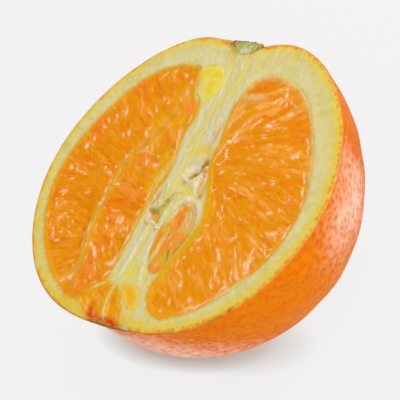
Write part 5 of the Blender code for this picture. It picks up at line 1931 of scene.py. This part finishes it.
SAC_MARKS = (
    Marks(Hue.HONEY, 0.85, blots=((5.5, -13, 18, 95, 9),)),
    Marks(Hue.TAN, 0.5, blots=((7.6, -8.6, 5, 110, 3.4), (6.2, -11.2, 3, 20, 2.4))),
    Marks(Hue.CORE_EDGE, 0.7, -0.04, blots=((9.4, -10.6, 4.4, 80, 1.8), (6.4, -18, 3.8, -60, 1.8))),
    Marks(Hue.BEIGE, 0.65, blots=((8.2, -7, 4.4, -55, 1.8), (6, -5.4, 2.6, -10, 1))),
    Marks(Hue.PITH_WHITE, 0.85, 0.03, 0.1, blots=((2.6, -7.8, 4.6, 58, 1.9), (1.6, -10.6, 2.4, 70, 1)),
        lines=((0.8, 9.6, -12.6, 9.2, -14.8, 8.4, -17.2, 7.4, -19.4), (0.5, 3.7, -11.6, 3.6, -14.6,
        3.3, -18))),
    Marks(Hue.ZEST_DEEP, 0.7, -0.05, blots=((5.6, -9, 2, 80, 1.2), (8.2, -16.4, 2.4, -60, 1.2)),
        lines=((0.8, 3.7, -6.6, 3.8, -7.8, 3.6, -8.8), (0.8, 5.2, -5.8, 5.1, -7.4, 4.8, -8.8),
        (0.9, 5.3, -8.6, 5.4, -10, 5, -11.6), (0.9, 5.4, -12, 5.2, -14.6, 4.9, -17.4), (0.7, 4.2, -12.6,
        4, -15.2, 3.8, -17.6), (0.6, 1.9, -12.6, 2.1, -14.6, 1.7, -16.8), (1, 9.3, -12.4, 9, -14.4,
        8.3, -17), (0.8, 6, -19.6, 5.9, -20.8, 5.4, -21.6), (0.7, 3.4, -19.4, 3.2, -20.6, 3.6, -21.4))),
    Marks(Hue.CORAL, 0.65, 0.14, blots=((7, -13, 3.4, 0, 2.2), (6.6, -15, 3, 80, 2),
        (4.5, -20.5, 3, -30, 2.2)), lines=((1.3, 4.6, -5.8, 4.3, -7.2, 4, -8.4), (1.1, 3.8, -9, 3.2, -9.8,
        2.6, -10.6), (0.9, 4.8, -8.6, 4.7, -10.4, 4.6, -12), (1.3, 4.9, -12, 4.6, -14.4, 4.4, -17,
        4.2, -19.4), (1, 2.7, -12.8, 2.9, -15, 2.5, -16.6, 2.2, -17.8))),
    Marks(Hue.RUST, 0.6, -0.02, 0.1, lines=((0.4, 7, -5.8, 7.6, -6.6, 8.2, -7.8), (0.3, 4, -10.8,
        4.1, -12.4, 4, -13.6), (0.35, 8.7, -13, 8.5, -15, 7.9, -16.8), (0.3, 6.9, -14, 6.6, -15.4,
        6, -16.4))),
    # Painted highlights: salmon glints on the sac.
    Marks(Hue.SALMON_HIGHLIGHT, 0.5, 0.05, dashes=((4.4, -6.6, 1, 75, 0.4), (3.3, -9.6, 1, 40, 0.4),
        (4.7, -13.4, 1.6, 85, 0.35), (2.8, -14.4, 1.4, 88, 0.3), (6.2, -14.6, 1.4, 70, 0.4),
        (4.6, -19.9, 1.4, -20, 0.5), (8, -7.8, 1, -50, 0.4))),
    Marks(Hue.BEIGE, 0.45, blots=((7.7, -9.2, 5, -62, 2.8),)),
    Marks(Hue.UMBER, 0.6, -0.05, 0.2, lines=((0.35, 6.6, -7.2, 7.4, -8.6, 8.4, -9.8), (0.35, 6, -8.6,
        7, -10, 8.2, -11.2))),
    Marks(Hue.DARK_OLIVE, 1, -0.2, lines=((0.6, 5.8, -16.5, 6.4, -17.5, 7, -18.6),)),
)
YELLOW_MARKS = (
    Marks(Hue.YELLOW_DEEP, 0.55, blots=((-4.2, 25.8, 3.4, 0, 1.4), (-4.8, 22.8, 3.4, -70, 1.8),
        (-7.4, 26.6, 2.6, 20, 1.2))),
    Marks(Hue.PITH_WHITE, 0.7, 0, 0.2, blots=((-7.6, 22.8, 3.4, 118, 1.8), (-5.6, 19.8, 2.6, 120, 1.6)),
        lines=((1, -1.9, 27.2, -1.5, 25, -1.7, 22.8, -2.6, 20.4),)),
    Marks(Hue.CREAM, 0.75, 0.08, 0.2, lines=((0.5, -6.9, 24.3, -5.6, 24.7, -3.8, 24.9), (0.4, -7, 24.4,
        -6.6, 23, -6.2, 21.6)), dashes=((-7.9, 27.2, 1.2, 20, 0.6),)),
)


def segments() -> tuple[Segment, ...]:
    """The pieces of pulp and the sacs."""
    return (
        Segment("pulp_right_half", "pulp_right", (21.0, -0.5), 150, 20.0, PULP_RIGHT, marks=RIGHT_MARKS),
        Segment("pulp_left_outer_half", "pulp_left_outer", (-26.0, 2.0), 145, 20.0, PULP_LEFT,
                marks=LEFT_MARKS),
        Segment("pulp_left_inner_half", "pulp_left_inner", (-11.1, -5.15), 110, 12.0, PULP_INNER,
                marks=INNER_MARKS),
        Segment("pulp_in_core", "pulp_core", (5.3, -13.0), 60, 5.0, PULP_SMALL, marks=SAC_MARKS),
        Segment("pulp_at_navel_left", "pulp_navel_left", (-7.0, -31.0), 45, 4.0, PULP_SMALL),
        Segment("pulp_at_navel_middle", "pulp_navel_right", (-1.2, -32.0), 35, 3.0, PULP_SMALL),
        Segment("yellow_sac", "sac_yellow", (-5.0, 25.0), 45, 4.0, None, Hue.YELLOW, Slot.SAC, YELLOW_MARKS),
        Segment("amber_sac", "sac_navel", (2.2, -28.2), 35, 2.5, None, Hue.GOLD, Slot.SAC),
    )


def main() -> None:
    """Build the half orange, dress it and light it."""
    logging.basicConfig(level=logging.INFO, format="%(name)s: %(message)s")
    finishes = {
        Slot.RIND: RindFinish().material(),
        Slot.PITH: PithFinish().material(),
        Slot.PULP: PulpFinish().material(),
        Slot.SAC: PulpFinish("sac_finish", (1.0, 0.7, 0.2)).material(),
        Slot.BUTTON: ButtonFinish().material(),
    }
    parts = segments()
    pieces = [part.build() for part in parts]
    pieces += [CutFace(parts).build(), RindSkin().build(), StemButton().build()]
    for piece in pieces:
        piece.data.materials.append(finishes[Slot(piece["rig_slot"])])
    Studio().build()
    LOG.info("%d pieces", len(pieces))


if __name__ == "__main__":
    main()
